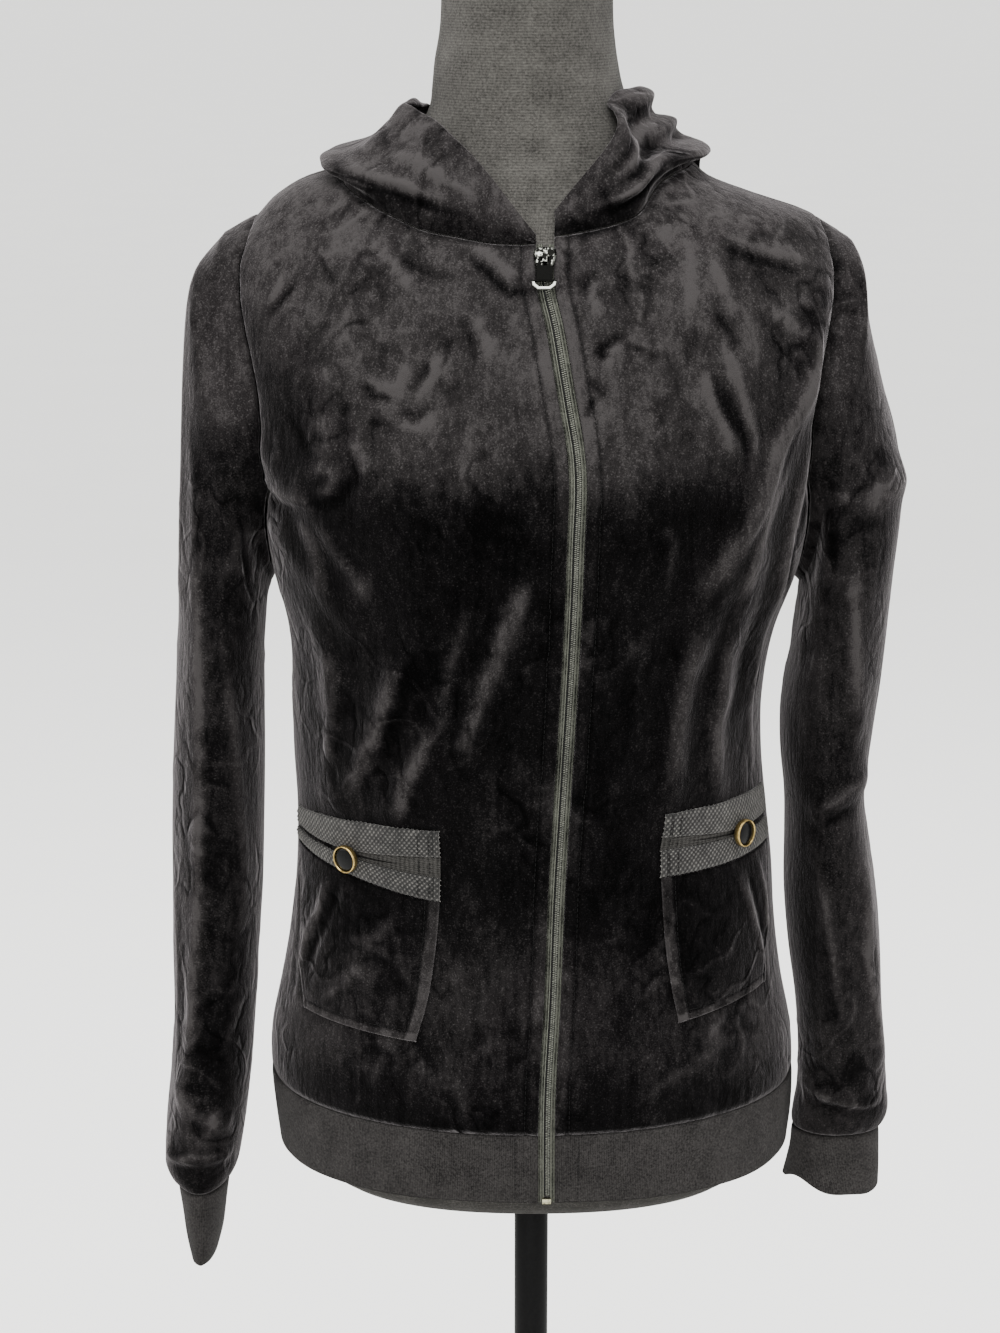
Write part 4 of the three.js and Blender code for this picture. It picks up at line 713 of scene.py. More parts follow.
# Closed thin shell between an outer face and one below it, with its edges turned in
def add_shell(name, outer, thick, look, ring=False, middle=None, nap_and_painted_light=None, normal=None, round_off=0.35):
    tall, wide = outer.shape[:2]
    if middle is None:
        middle = np.zeros(outer.shape)
        middle[..., 1] = 8
        middle[..., 2] = outer[..., 2]
    if normal is None:
        normal = grid_normals(outer, ring, middle)
    rim = np.zeros((tall, wide))
    rim[0] = rim[-1] = round_off
    if not ring:
        rim[:, 0] = rim[:, -1] = round_off
    top = outer - normal * (rim * thick)[..., None]
    low = outer - normal * ((1 - rim) * thick)[..., None]
    index = np.arange(tall * wide).reshape(tall, wide)
    if ring:
        index = np.concatenate([index, index[:, :1]], 1)
    quads = np.stack([index[:-1, :-1], index[:-1, 1:], index[1:, 1:], index[1:, :-1]], -1).reshape(-1, 4)
    faces = [quads, quads[:, ::-1] + tall * wide]
    borders = [index[0, ::-1], index[-1]]
    if not ring:
        borders += [index[:, 0], index[::-1, -1]]
    for line in borders:
        faces.append(np.stack([line[:-1], line[1:], line[1:] + tall * wide, line[:-1] + tall * wide], -1))
    faces = np.concatenate(faces)
    points = np.concatenate([top.reshape(-1, 3), low.reshape(-1, 3)])
    corners = points[faces]
    volume = np.einsum("ij,ij->", corners[:, 0], np.cross(corners[:, 1], corners[:, 2]))
    volume += np.einsum("ij,ij->", corners[:, 0], np.cross(corners[:, 2], corners[:, 3]))
    if volume < 0:
        faces = faces[:, ::-1]
    along = np.zeros((tall, wide))
    along[:, 1:] = np.cumsum(np.linalg.norm(np.diff(outer, axis=1), axis=-1), 1)
    up = np.zeros((tall, wide))
    up[1:] = np.cumsum(np.linalg.norm(np.diff(outer, axis=0), axis=-1), 0)
    uv = np.stack([along * 0 + along.mean(0), up * 0 + up.mean(1, keepdims=True)], -1).reshape(-1, 2)
    shade = np.full((tall, wide), 0.42) if nap_and_painted_light is None else nap_and_painted_light
    # The inner face gets painted shade: its nap is 0.8 of the outer face's
    return add_mesh(name, points, faces, look, np.concatenate([uv, uv]),
                    np.concatenate([shade.ravel(), shade.ravel() * 0.8]))


# Solid of revolution from radius and height pairs
def turned(name, profile, sides, origin, axis, look, ride_on="garment"):
    up = unit(np.array(axis, float))
    across = unit(np.cross([0, 1, 0] if abs(up[2]) > 0.9 else [0, 0, 1], up))
    third = np.cross(up, across)
    points = []
    faces = []
    rings = []
    for radius, height in profile:
        first = len(points)
        number = 1 if radius == 0 else sides
        for k in range(number):
            turn = 2 * math.pi * k / sides
            points.append(np.array(origin, float) + across * radius * math.cos(turn)
                          + third * radius * math.sin(turn) + up * height)
        rings.append((first, number))
    for (low, low_number), (high, high_number) in zip(rings[:-1], rings[1:]):
        for k in range(sides):
            n = (k + 1) % sides
            if low_number == 1:
                faces.append([low, high + n, high + k])
            elif high_number == 1:
                faces.append([low + k, low + n, high])
            else:
                faces.append([low + k, low + n, high + n, high + k])
    return add_mesh(name, points, faces, look, ride_on=ride_on)


# Tubes of thread along short runs: one closed capsule for each stitch
def add_stitches(name, runs, radius, look, sides=6):
    points = []
    faces = []
    for start, end, lift in runs:
        along = unit(end - start)
        side = unit(np.cross(along, lift))
        first = len(points)
        for share, size in ((0, 0.35), (0.2, 0.95), (0.5, 1.1), (0.8, 0.95), (1, 0.35)):
            centre = mix(start, end, share) + lift * radius * (0.9 * math.sin(math.pi * share) - 0.3)
            for k in range(sides):
                turn = 2 * math.pi * k / sides
                points.append(centre + (side * math.cos(turn) + lift * math.sin(turn)) * radius * size)
        for r in range(4):
            for k in range(sides):
                a = first + r * sides + k
                b = first + r * sides + (k + 1) % sides
                faces.append([a, a + sides, b + sides, b])
        faces.append([first + k for k in range(sides)])
        faces.append([first + 4 * sides + k for k in reversed(range(sides))])
    return add_mesh(name, points, faces, look)


# Stitch runs along a line of points with their normals
def stitch_runs(points, normals, length=2.6, gap=0.7, lift=0.1):
    points = np.asarray(points, float)
    reach = np.concatenate([[0], np.cumsum(np.linalg.norm(np.diff(points, axis=0), axis=1))])
    starts = np.arange(gap, reach[-1] - length, length + gap)

    def place(at):
        return np.stack([np.interp(at, reach, points[:, c]) for c in range(3)], -1)

    ups = unit(np.stack([np.interp(starts + length / 2, reach, normals[:, c]) for c in range(3)], -1))
    first = place(starts) + ups * lift
    last = place(starts + length) + ups * lift
    return list(zip(first, last, ups))


# Shader nodes: one node with its values set and its inputs joined
def node(tree, kind, values=None, links=None, **settings):
    made = tree.nodes.new(kind)
    for key, value in settings.items():
        setattr(made, key, value)
    for key, value in (values or {}).items():
        made.inputs[key].default_value = value
    for key, source in (links or {}).items():
        tree.links.new(source, made.inputs[key])
    return made


def start_look(name, **fixed):
    material = bpy.data.materials.new(name)
    material.use_nodes = True
    tree = material.node_tree
    shader = tree.nodes["Principled BSDF"]
    for key, value in fixed.items():
        shader.inputs[key.replace("_", " ")].default_value = value
    return material, tree, shader


def object_place(tree):
    return node(tree, "ShaderNodeTexCoord").outputs["Object"]


def noise_node(tree, place, scale, detail=2.0, rough=0.5, stretch=None):
    if stretch:
        place = node(tree, "ShaderNodeMapping", {"Scale": stretch}, {"Vector": place}).outputs[0]
    return node(tree, "ShaderNodeTexNoise", {"Scale": scale, "Detail": detail, "Roughness": rough},
                {"Vector": place}).outputs[0]


def math_node(tree, operation, a, b=None, clamp=False):
    made = node(tree, "ShaderNodeMath", operation=operation, use_clamp=clamp)
    for k, value in enumerate((a, b)):
        if value is None:
            continue
        if isinstance(value, (int, float)):
            made.inputs[k].default_value = value
        else:
            tree.links.new(value, made.inputs[k])
    return made.outputs[0]


def ramp(tree, factor, *stops):
    made = node(tree, "ShaderNodeValToRGB", links={"Fac": factor})
    elements = made.color_ramp.elements
    while len(elements) < len(stops):
        elements.new(0.5)
    for element, (place, colour) in zip(elements, stops):
        element.position = place
        element.color = (*colour, 1)
    return made.outputs[0]


def stretch_range(tree, value, low, high, to_low, to_high):
    limits = {"From Min": low, "From Max": high, "To Min": to_low, "To Max": to_high}
    return node(tree, "ShaderNodeMapRange", limits, {"Value": value}).outputs[0]


def bump(tree, shader, height, strength, distance):
    made = node(tree, "ShaderNodeBump", {"Strength": strength, "Distance": distance}, {"Height": height})
    tree.links.new(made.outputs[0], shader.inputs["Normal"])


# Short names for the sums that the looks are made of
def add(tree, first, *parts):
    for part in parts:
        first = math_node(tree, "ADD", first, part)
    return first


def times(tree, a, b):
    return math_node(tree, "MULTIPLY", a, b)


def spread(tree, value, share):
    return times(tree, math_node(tree, "SUBTRACT", value, 0.5), share)


def thin_lines(tree, value, sharp):
    away = math_node(tree, "ABSOLUTE", math_node(tree, "SUBTRACT", value, 0.5))
    return math_node(tree, "SUBTRACT", 1.0, times(tree, away, sharp), clamp=True)


def nap_and_light_value(tree):
    return node(tree, "ShaderNodeAttribute", attribute_name="nap_and_painted_light").outputs["Fac"]


def join(tree, shader, colour, rough):
    tree.links.new(colour, shader.inputs["Base Color"])
    tree.links.new(rough, shader.inputs["Roughness"])


# Crushed pile: near black to grey by its nap attribute, which holds painted light from above, painted
# highlights on ridges and painted shade in troughs and seams.
# Thin bent marks, light and dark, and streaks down the cloth come from noises on the object's own place.
def velour_look():
    material, tree, shader = start_look(
        "velour", Sheen_Weight=0.3, Sheen_Roughness=0.34, Sheen_Tint=(0.6, 0.56, 0.57, 1),
        Specular_IOR_Level=0.0)
    place = object_place(tree)
    grain = noise_node(tree, place, 1300, 1.0)
    fleck = noise_node(tree, place, 950, 1.0)
    fibre = noise_node(tree, place, 300, 3.0, 0.6, (1, 1, 0.45))
    streak = noise_node(tree, place, 105, 3.0, 0.6, (1, 1, 0.2))
    blotch = noise_node(tree, place, 55, 3.0, 0.6)
    patch = stretch_range(tree, noise_node(tree, place, 13, 2.0), 0.42, 0.62, 0, 1)
    patch = math_node(tree, "ADD", patch, 0.0, clamp=True)
    light_marks = times(tree, thin_lines(tree, noise_node(tree, place, 27, 1.0), 22), patch)
    dark_marks = noise_node(tree, place, 33, 2.0, 0.5, (1, 1, 0.8))
    dark_marks = times(tree, thin_lines(tree, dark_marks, 15), patch)
    value = add(tree, nap_and_light_value(tree), spread(tree, grain, 0.4), spread(tree, fibre, 0.5),
                spread(tree, streak, 0.5), spread(tree, blotch, 0.3), times(tree, light_marks, 0.18),
                times(tree, dark_marks, -0.24))
    lint = times(tree, math_node(tree, "SUBTRACT", fleck, 0.54, clamp=True), 1.5)
    value = add(tree, math_node(tree, "MAXIMUM", value, 0.08), lint)
    colour = ramp(tree, value, (0.1, (0.0006, 0.0006, 0.0006)), (0.4, (0.0026, 0.0024, 0.0025)),
                  (0.72, (0.012, 0.0109, 0.0109)), (1.0, (0.031, 0.0285, 0.0283)))
    join(tree, shader, colour, stretch_range(tree, value, 0.1, 0.9, 0.95, 0.7))
    height = add(tree, times(tree, grain, 0.4), times(tree, fibre, 0.9), times(tree, light_marks, 0.8),
                 times(tree, dark_marks, -1.0), times(tree, streak, 0.8))
    bump(tree, shader, height, 0.6, 0.0012)
    return material


# Plain knit: fine wales along the cloth's own v direction and short courses across
def knit_look(name, dark, light, wale, course, sheen, strength=0.35, fleck=0.6):
    material, tree, shader = start_look(
        name, Sheen_Weight=sheen, Sheen_Roughness=0.5, Sheen_Tint=(0.7, 0.67, 0.66, 1),
        Specular_IOR_Level=0.03)
    uv = node(tree, "ShaderNodeUVMap", uv_map="cloth").outputs[0]
    parts = node(tree, "ShaderNodeSeparateXYZ", links={"Vector": uv}).outputs
    place = object_place(tree)
    waver = noise_node(tree, place, 260, 2.0)
    across = add(tree, times(tree, parts[0], 2 * math.pi / wale), times(tree, waver, 3.0))
    along = add(tree, times(tree, parts[1], 2 * math.pi / course), times(tree, waver, 2.0))
    weave = add(tree, times(tree, math_node(tree, "SINE", across), 0.6),
                times(tree, math_node(tree, "SINE", along), 0.4))
    grain = noise_node(tree, place, 700, 3.0, 0.7)
    blotch = noise_node(tree, place, 60, 3.0)
    value = add(tree, times(tree, weave, 0.2), 0.08, spread(tree, grain, fleck), spread(tree, blotch, 0.5),
                nap_and_light_value(tree))
    colour = ramp(tree, value, (0.15, dark), (0.85, light))
    join(tree, shader, colour, stretch_range(tree, value, 0.1, 0.9, 0.95, 0.78))
    height = add(tree, times(tree, weave, 0.35), times(tree, grain, 0.5))
    bump(tree, shader, height, strength, 0.0006)
    return material


# Braid: the raised cells come with the mesh, their painted highlights with its nap value; the yarn's fleck
# from noise
def braid_look():
    material, tree, shader = start_look(
        "braid", Sheen_Weight=0.3, Sheen_Roughness=0.5, Sheen_Tint=(0.8, 0.77, 0.74, 1),
        Specular_IOR_Level=0.25)
    place = object_place(tree)
    grain = noise_node(tree, place, 1600, 2.0)
    blotch = noise_node(tree, place, 150, 2.0)
    value = add(tree, nap_and_light_value(tree), spread(tree, grain, 0.6), spread(tree, blotch, 0.5))
    colour = ramp(tree, value, (0.1, (0.0012, 0.0012, 0.0011)), (0.5, (0.013, 0.0124, 0.0116)),
                  (1.0, (0.1, 0.095, 0.086)))
    join(tree, shader, colour, stretch_range(tree, value, 0.1, 0.9, 0.9, 0.65))
    bump(tree, shader, grain, 0.5, 0.0004)
    return material


def metal_look(name, dark, light, rough_low, rough_high, scale=350, stops=(0.3, 0.6)):
    material, tree, shader = start_look(name, Metallic=1.0)
    place = object_place(tree)
    stain = noise_node(tree, place, scale, 4.0, 0.6)
    fine = noise_node(tree, place, scale * 5, 2.0)
    colour = ramp(tree, stain, (stops[0], dark), (stops[1], light))
    join(tree, shader, colour, stretch_range(tree, stain, 0.3, 0.7, rough_high, rough_low))
    bump(tree, shader, fine, 0.12, 0.0002)
    return material


# The pull: a black plate down to its hole and a bright ring below, told apart by height
def pull_look():
    material, tree, shader = start_look("pull", Metallic=1.0)
    place = object_place(tree)
    height = node(tree, "ShaderNodeSeparateXYZ", links={"Vector": place}).outputs[2]
    ring = stretch_range(tree, height, PULL_RING_TOP * MM, (PULL_RING_TOP - 0.5) * MM, 0, 1)
    stain = noise_node(tree, place, 700, 3.0)
    value = add(tree, times(tree, ring, 0.7), times(tree, stain, 0.4))
    colour = ramp(tree, value, (0.36, (0.0012, 0.0012, 0.0011)), (1.0, (0.2, 0.205, 0.185)))
    join(tree, shader, colour, stretch_range(tree, stain, 0.3, 0.7, 0.2, 0.32))
    bump(tree, shader, stain, 0.12, 0.0002)
    return material


def satin_look(name, dark, light, rough, coat=0.0, shine=0.1, scale=600, strength=0.15):
    material, tree, shader = start_look(name, Coat_Weight=coat, Coat_Roughness=0.2, Specular_IOR_Level=shine)
    place = object_place(tree)
    grain = noise_node(tree, place, scale, 3.0)
    colour = ramp(tree, grain, (0.3, dark), (0.7, light))
    join(tree, shader, colour, stretch_range(tree, grain, 0.3, 0.7, rough * 0.85, rough * 1.15))
    bump(tree, shader, grain, strength, 0.0002)
    return material


# Looks that several pieces share
LOOKS = {
    "velour": velour_look(),
    "knit": knit_look("knit", (0.005, 0.0047, 0.0046), (0.031, 0.0288, 0.0278), 1.1, 1.0, 0.04, 0.6, 1.6),
    "jersey": knit_look("jersey", (0.016, 0.0153, 0.014), (0.077, 0.0735, 0.067), 0.9, 1.6, 0.05, 0.5, 1.3),
    "strip": knit_look("strip", (0.006, 0.0058, 0.0054), (0.045, 0.043, 0.04), 3.0, 0.8, 0.04, 0.6, 0.8),
    "tape": knit_look("tape", (0.0015, 0.0016, 0.0014), (0.12, 0.124, 0.102), 1.7, 0.75, 0.03, 0.8, 0.5),
    "braid": braid_look(),
    "thread": satin_look("thread", (0.002, 0.002, 0.002), (0.008, 0.0075, 0.0075), 0.8),
    "tooth": satin_look("tooth", (0.03, 0.031, 0.026), (0.13, 0.133, 0.11), 0.6, 0.0, 0.3),
    "coil": satin_look("coil", (0.0015, 0.0015, 0.0015), (0.004, 0.004, 0.004), 0.6),
    "nickel": metal_look("nickel", (0.002, 0.002, 0.0018), (0.15, 0.152, 0.136), 0.14, 0.34, 420,
                         (0.5, 0.64)),
    "pull": pull_look(),
    "bright": metal_look("bright", (0.1, 0.092, 0.055), (0.42, 0.4, 0.27), 0.2, 0.36),
    "brass": metal_look("brass", (0.11, 0.075, 0.025), (0.45, 0.33, 0.13), 0.24, 0.44),
    "black": satin_look("black", (0.0012, 0.0012, 0.0012), (0.003, 0.003, 0.003), 0.2, 0.0, 0.09),
    "pole": satin_look("pole", (0.0015, 0.0015, 0.0015), (0.004, 0.004, 0.004), 0.45, 0.0, 0.07),
    "base": satin_look("base", (0.004, 0.004, 0.004), (0.011, 0.011, 0.011), 0.4, 0.15),
}


# Front panels, with a topstitched fold along the zip
ZIP_STITCH = 8.0
FRONT_COLUMNS = np.concatenate([np.linspace(0, 1, 25), np.linspace(1, 3, 17)[1:], np.linspace(3, 9, 43)[1:],
                                np.linspace(9, 11, 17)[1:]])


def panel(side, rows, columns, fine=1.0):
    spots = grid_read(FRONT[side], rows, columns)
    return spots[..., 0], spots[..., 1], *dressed_body(spots[..., 0], spots[..., 1], fine)


def facing(points):
    middle = np.zeros(points.shape)
    middle[..., 1] = 8
    middle[..., 2] = points[..., 2]
    return grid_normals(points, False, middle)


seam_lines = []
trim_lines = []
for side in ("left", "right"):
    angle, z, points, nap_and_painted_light = panel(side, steps(0, ALL_ROWS - 1, 7), FRONT_COLUMNS)
    out = facing(points)
    from_zip = edge_distance(points, "first_column")
    sink = valley(points, ["last_column", "last_row", "first_row"], 0.5)
    fold = 0.7 * np.exp(-(from_zip / 3.5) ** 2) - 0.75 * np.exp(-((from_zip - ZIP_STITCH) / 1.3) ** 2)
    points = points + out * (fold - sink)[..., None]
    # Painted shade in the stitch groove beside the zip and in the seam valleys at the panel's edges; lighter
    # along the zip edge
    nap_and_painted_light = nap_and_painted_light - 0.22 * np.exp(-((from_zip - ZIP_STITCH) / 1.6) ** 2) + 0.12 * np.exp(-(from_zip / 11) ** 4)
    nap_and_painted_light = nap_and_painted_light - 0.7 * sink
    piece = add_shell(f"front_{side}", points, VELOUR, "velour", nap_and_painted_light=nap_and_painted_light)
    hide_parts(f"front_{side}")
    line = np.array([points[j, np.argmin(abs(from_zip[j] - ZIP_STITCH))] for j in range(len(points))])
    ups = np.array([out[j, np.argmin(abs(from_zip[j] - ZIP_STITCH))] for j in range(len(points))])
    seam_lines += stitch_runs(line, ups)

spots = grid_read(BACK, steps(0, ALL_ROWS - 1, 6), steps(0, BACK_COLUMNS, 6))
points, nap_and_painted_light = dressed_body(spots[..., 0], spots[..., 1])
sink = valley(points, ["first_column", "last_column", "last_row", "first_row"], 0.9)
points = points - facing(points) * sink[..., None]
add_shell("back", points, VELOUR, "velour", nap_and_painted_light=nap_and_painted_light)
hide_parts("back")

# Hem band, from the zip's left side round the back to its right side
band_angles = np.concatenate([
    grid_read(FRONT["left"], [0.0], np.arange(12))[0, :, 0],
    grid_read(BACK, [0.0], np.arange(1, BACK_COLUMNS))[0, :, 0],
    grid_read(FRONT["right"], [0.0], np.arange(12))[0, ::-1, 0] + 360])
band_z = np.linspace(HEM_SEAM_Z - SEAM_GAP, BAND_END_Z, 25)
band_steps = steps(0, len(band_angles) - 1, 8)
angles = np.tile(read_many(np.arange(len(band_angles)), band_angles, band_steps), (len(band_z), 1))
angles[:, 0] = zip_angle("left", band_z)
angles[:, -1] = zip_angle("right", band_z) + 360
heights = np.tile(band_z[:, None], (1, angles.shape[1]))
points = smooth_body(angles, heights)
out = smooth_normal(angles, heights)
wave = 0.5 * noise(points * [1, 1, 0.4], 26, 61) - 0.4 * np.exp(-((HEM_SEAM_Z - heights) / 3) ** 2)
from_zip = np.minimum(edge_distance(points, "first_column"), edge_distance(points, "last_column"))
wave = wave + 0.5 * np.exp(-(from_zip / 3.5) ** 2) - 0.6 * np.exp(-((from_zip - ZIP_STITCH) / 1.3) ** 2)
points = points + out * wave[..., None]
add_shell("hem_band", points, KNIT, "knit", round_off=0.5)
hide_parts("hem_band")
for column in (4, -5):
    seam_lines += stitch_runs(points[:, column], out[:, column])


# Sleeves
def armhole_spots(side):
    turn = side_sign(side)
    rows = list(range(SIDE_ROWS - 1, SIDE_ROWS + 11))
    top = len(rows) - 1
    spots = []
    for k in range(2 * top):
        j = rows[top - k if k <= top else k - top]
        upper = None if j < SIDE_ROWS else UPPER_ROWS[j - SIDE_ROWS]
        front = upper[3] if upper else 90
        back = upper[4] if upper else 90
        spots.append((turn * (front if k <= top else back), side_z(j)))
    return np.array(spots)


def around(values, per_unit):
    count = len(values)
    wrapped = np.concatenate([values[-3:], values, values[:4]])
    at = np.arange(count * per_unit) / per_unit
    return read_many(np.arange(-3, count + 4), wrapped, at)


def ring_frame(side, row):
    turn = side_sign(side)
    outer = np.array([turn * row[0], 0, row[1]])
    inner = np.array([turn * row[2], 0, row[3]])
    middle = np.array([(outer[0] + inner[0]) / 2, (row[4] + row[5]) / 2, (outer[2] + inner[2]) / 2])
    reach = outer - inner
    half = np.linalg.norm(reach) / 2
    out = reach / (2 * half)
    return middle, out, half, (row[5] - row[4]) / 2, unit(np.cross(out, [0, 1, 0]))


def ring_points(side, row, turns):
    middle, out, half, depth, across = ring_frame(side, row)
    c = np.cos(np.radians(turns))
    s = np.sin(np.radians(turns))
    rounded = (abs(c) ** row[6] + abs(s) ** row[6]) ** (-1 / row[6])
    ahead = np.array([0, -1, 0])
    return middle + out * (half * c * rounded)[:, None] + ahead * (depth * s * rounded)[:, None]


RING_STEPS = 5
armhole = {}
for side in ("left", "right"):
    spots = armhole_spots(side)
    hole = body(spots[:, 0], spots[:, 1])
    middle = (hole[0] + hole[11]) / 2
    half = np.linalg.norm(hole[0] - hole[11]) / 2
    turns = np.degrees(np.arccos(np.clip((hole[:, 2] - middle[2]) / half, -1, 1)))
    turns[12:] = 360 - turns[12:]
    count = len(turns)
    wrapped = np.concatenate([turns[-3:] - 360, turns, turns[:4] + 360])
    fine_turns = read_many(np.arange(-3, count + 4), wrapped, np.arange(count * RING_STEPS) / RING_STEPS)
    fine_spots = around(spots, RING_STEPS)
    armhole[side] = fine_turns, dressed_body(fine_spots[:, 0], fine_spots[:, 1])[0], hole


def sleeve_points(side, levels):
    turns, hole, corners = armhole[side]
    rings = np.array(SLEEVES[side], float)
    number = np.arange(1, len(rings) + 1)
    tip, pit = corners[0], corners[11]
    start = ring_frame(side, [abs(tip[0]), tip[2], abs(pit[0]), pit[2], -54, 54, 2.2])
    lines = []
    for v in levels:
        row = rings[0] if v <= 1 else read_many(number, rings, v)
        plain = ring_points(side, row, turns)
        fade = min(max(1 - v / ARMHOLE_RINGS, 0), 1)
        if fade > 0:
            middle, out, half, depth, across = ring_frame(side, row)
            off = hole - start[0]
            carried = (middle + out * (off @ start[1] / start[2] * half)[:, None]
                       + np.array([0, 1, 0]) * (off[:, 1] / start[3] * depth)[:, None]
                       + across * (off @ start[4])[:, None])
            share = fade * fade * (3 - 2 * fade)
            plain = mix(plain, carried, share)
        if v < 1:
            plain = mix(hole, plain, v) if v > 0 else hole
        lines.append(plain)
    return np.array(lines)


def ring_middles(points):
    return np.repeat(points.mean(1, keepdims=True), points.shape[1], 1)


for side in ("left", "right"):
    levels = steps(0, len(SLEEVES[side]), 9)
    points = sleeve_points(side, levels)
    turns = armhole[side][0][None, :]
    v = levels[:, None]
    out = grid_normals(points, True, ring_middles(points))
    large = ridges(SLEEVE_FOLDS[side], turns, v, 0.75, 38) * np.clip(v, 0, 1)
    crease = creases(SLEEVE_CREASES[side], turns, v, 0.75, 38) * np.clip(v * 2, 0, 1)
    height, nap_and_painted_light = crumple(points)
    sink = valley(points, ["first_row", "last_row"], 0.9)
    height = large + crease + height * np.clip(v * 2, 0, 1) - sink
    points = points + out * height[..., None]
    name = f"sleeve_{side}"
    # The sleeve's nap gets painted highlights on crease ridges, painted shade in their troughs and painted
    # light from above
    add_shell(name, points, VELOUR, "velour", True, ring_middles(points),
                             nap_and_painted_light + 0.28 * np.clip(crease, -1.5, 1.6) + 0.5 * painted_light_from_above(out) + 0.12)
    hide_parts(name)
    rows = np.array(CUFFS[side], float)
    levels = steps(0, len(rows) - 1, 12)
    points = np.array([ring_points(side, read_many(np.arange(len(rows)), rows, level), armhole[side][0])
                       for level in levels])
    share = (levels / levels[-1])[:, None]
    out = grid_normals(points, True, ring_middles(points))
    ripple = 0.5 * noise(points * [1, 1, 0.5], 22, 71) - 0.7 * np.exp(-(share * 49 / 3) ** 2)
    points = points + out * ripple[..., None]
    if side == "left":
        wave = 2.2 * np.sin(np.radians(turns * 3 + 40)) + 1.4 * np.sin(np.radians(turns * 5 + 100))
        points[..., 2] += wave * share ** 2
    name = f"cuff_{side}"
    add_shell(name, points, KNIT, "knit", True, ring_middles(points), round_off=0.5)
    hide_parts(name)


# Hood halves, from the neckline seam to the face edge
def keep_off(points, room):
    x, y, z = points[..., 0], points[..., 1], points[..., 2]
    power = read(BODY, z, 6)
    middle = read(BODY, z, 5)
    width = np.where(x > 0, read(BODY, z, 2), read(BODY, z, 1))
    depth = np.where(y < middle, read(BODY, z, 3) + middle, read(BODY, z, 4) - middle)
    reach = np.hypot(x, y - middle)
    share = (abs(x / width) ** power + abs((y - middle) / depth) ** power) ** (1 / power)
    push = np.maximum(reach / share + room - reach, 0)
    return np.stack([x + x / reach * push, y + (y - middle) / reach * push, z], -1)


def hood_grid(side, places, levels):
    last = BACK[-1]
    if side == "left":
        spots = np.concatenate([FRONT[side][-1], last[1:BACK_COLUMNS // 2 + 1]])
    else:
        spots = np.concatenate([FRONT[side][-1], last[BACK_COLUMNS - 1:BACK_COLUMNS // 2 - 1:-1] - [360, 0]])
    spots = read_many(np.arange(len(spots)), spots, places)
    angle, z = spots[:, 0], spots[:, 1]
    normal = body_normal(angle, z)
    seam = body(angle, z) - normal * VELOUR / 2
    rise = unit(body(angle, z + 1) - body(angle, z))
    start = seam + rise * SEAM_GAP
    out = unit(np.stack([seam[:, 0] + 4, seam[:, 1] - 8, 0 * z], -1))
    stations = sorted(HOOD[side])
    profiles = []
    for station in stations:
        pairs = np.array(HOOD[side][station], float)
        spread = levels if len(pairs) == 16 else levels / 15 * (len(pairs) - 1)
        profiles.append(read_many(np.arange(len(pairs)), pairs, spread))
    offset = read_many(stations, np.array(profiles), abs(angle))
    away, up = offset[..., 0], offset[..., 1]
    points = start[:, None] + out[:, None] * away[..., None]
    points[..., 2] += up
    layer = np.clip((levels - 6.5) / 2, 0, 1)
    below = np.clip((5 - up) / 14, 0, 1) * np.clip((levels - 1) / 2, 0, 1)
    room = np.where(levels < 0.5, -1000, mix(-1.2, mix(8.5, 16, layer), below))
    points = keep_off(points, room)
    points[-1, :, 0] = side_sign(side) * SEAM_GAP / 2
    return np.moveaxis(points, 1, 0), abs(angle)


HOOD_HEM = 18.0
for side in ("left", "right"):
    levels = np.concatenate([np.linspace(0, 6, 43), np.linspace(6, 9, 31)[1:], np.linspace(9, 15, 49)[1:]])
    points, angle = hood_grid(side, steps(0, 20, 6), levels)
    out = grid_normals(points, False, np.mean(points, axis=(0, 1)))
    t = levels[:, None]
    place = np.tile(angle[None, :], (len(levels), 1))
    loose = np.clip(t / 2, 0, 1) * np.clip(place / 12, 0, 1)
    from_face = edge_distance(points, "last_row")
    height, nap_and_painted_light = crumple(points)
    fold = creases(HOOD_CREASES[side], place, t + 0 * place, 0.9, 6)
    hem = -0.8 * np.exp(-((from_face - HOOD_HEM) / 1.6) ** 2) * (t > 8)
    points = points + out * ((height * 0.8 + fold) * loose + hem * np.clip(place / 8, 0, 1))[..., None]
    name = f"hood_{side}"
    # The hood's nap gets painted highlights on fold ridges, painted shade in their troughs and painted light
    # from above
    nap_and_painted_light = nap_and_painted_light + 0.24 * np.clip(fold, -1.5, 1.6) + 0.6 * painted_light_from_above(out) + 0.14
    add_shell(name, points, VELOUR, "velour", nap_and_painted_light=nap_and_painted_light, normal=out, round_off=0.4)
    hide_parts(name)

# Half sections of the buttons: radius and height
BUTTON_RIM = [
    (0, 0), (6.2, 0), (7.4, 0.1), (8.1, 0.5), (8.5, 1.2), (8.6, 2.2), (8.6, 3.4), (8.5, 4.1), (8.25, 4.5),
    (7.95, 4.6), (7.65, 4.45), (7.5, 4.1), (7.4, 3.2), (7.3, 1.6), (0, 1.6),
]
BUTTON_DOME = [
    (0, 1.9), (6.9, 1.9), (7.15, 2.3), (7.15, 3.1), (6.9, 3.5), (5.8, 3.85), (4.0, 4.15), (2.0, 4.32),
    (0, 4.38),
]

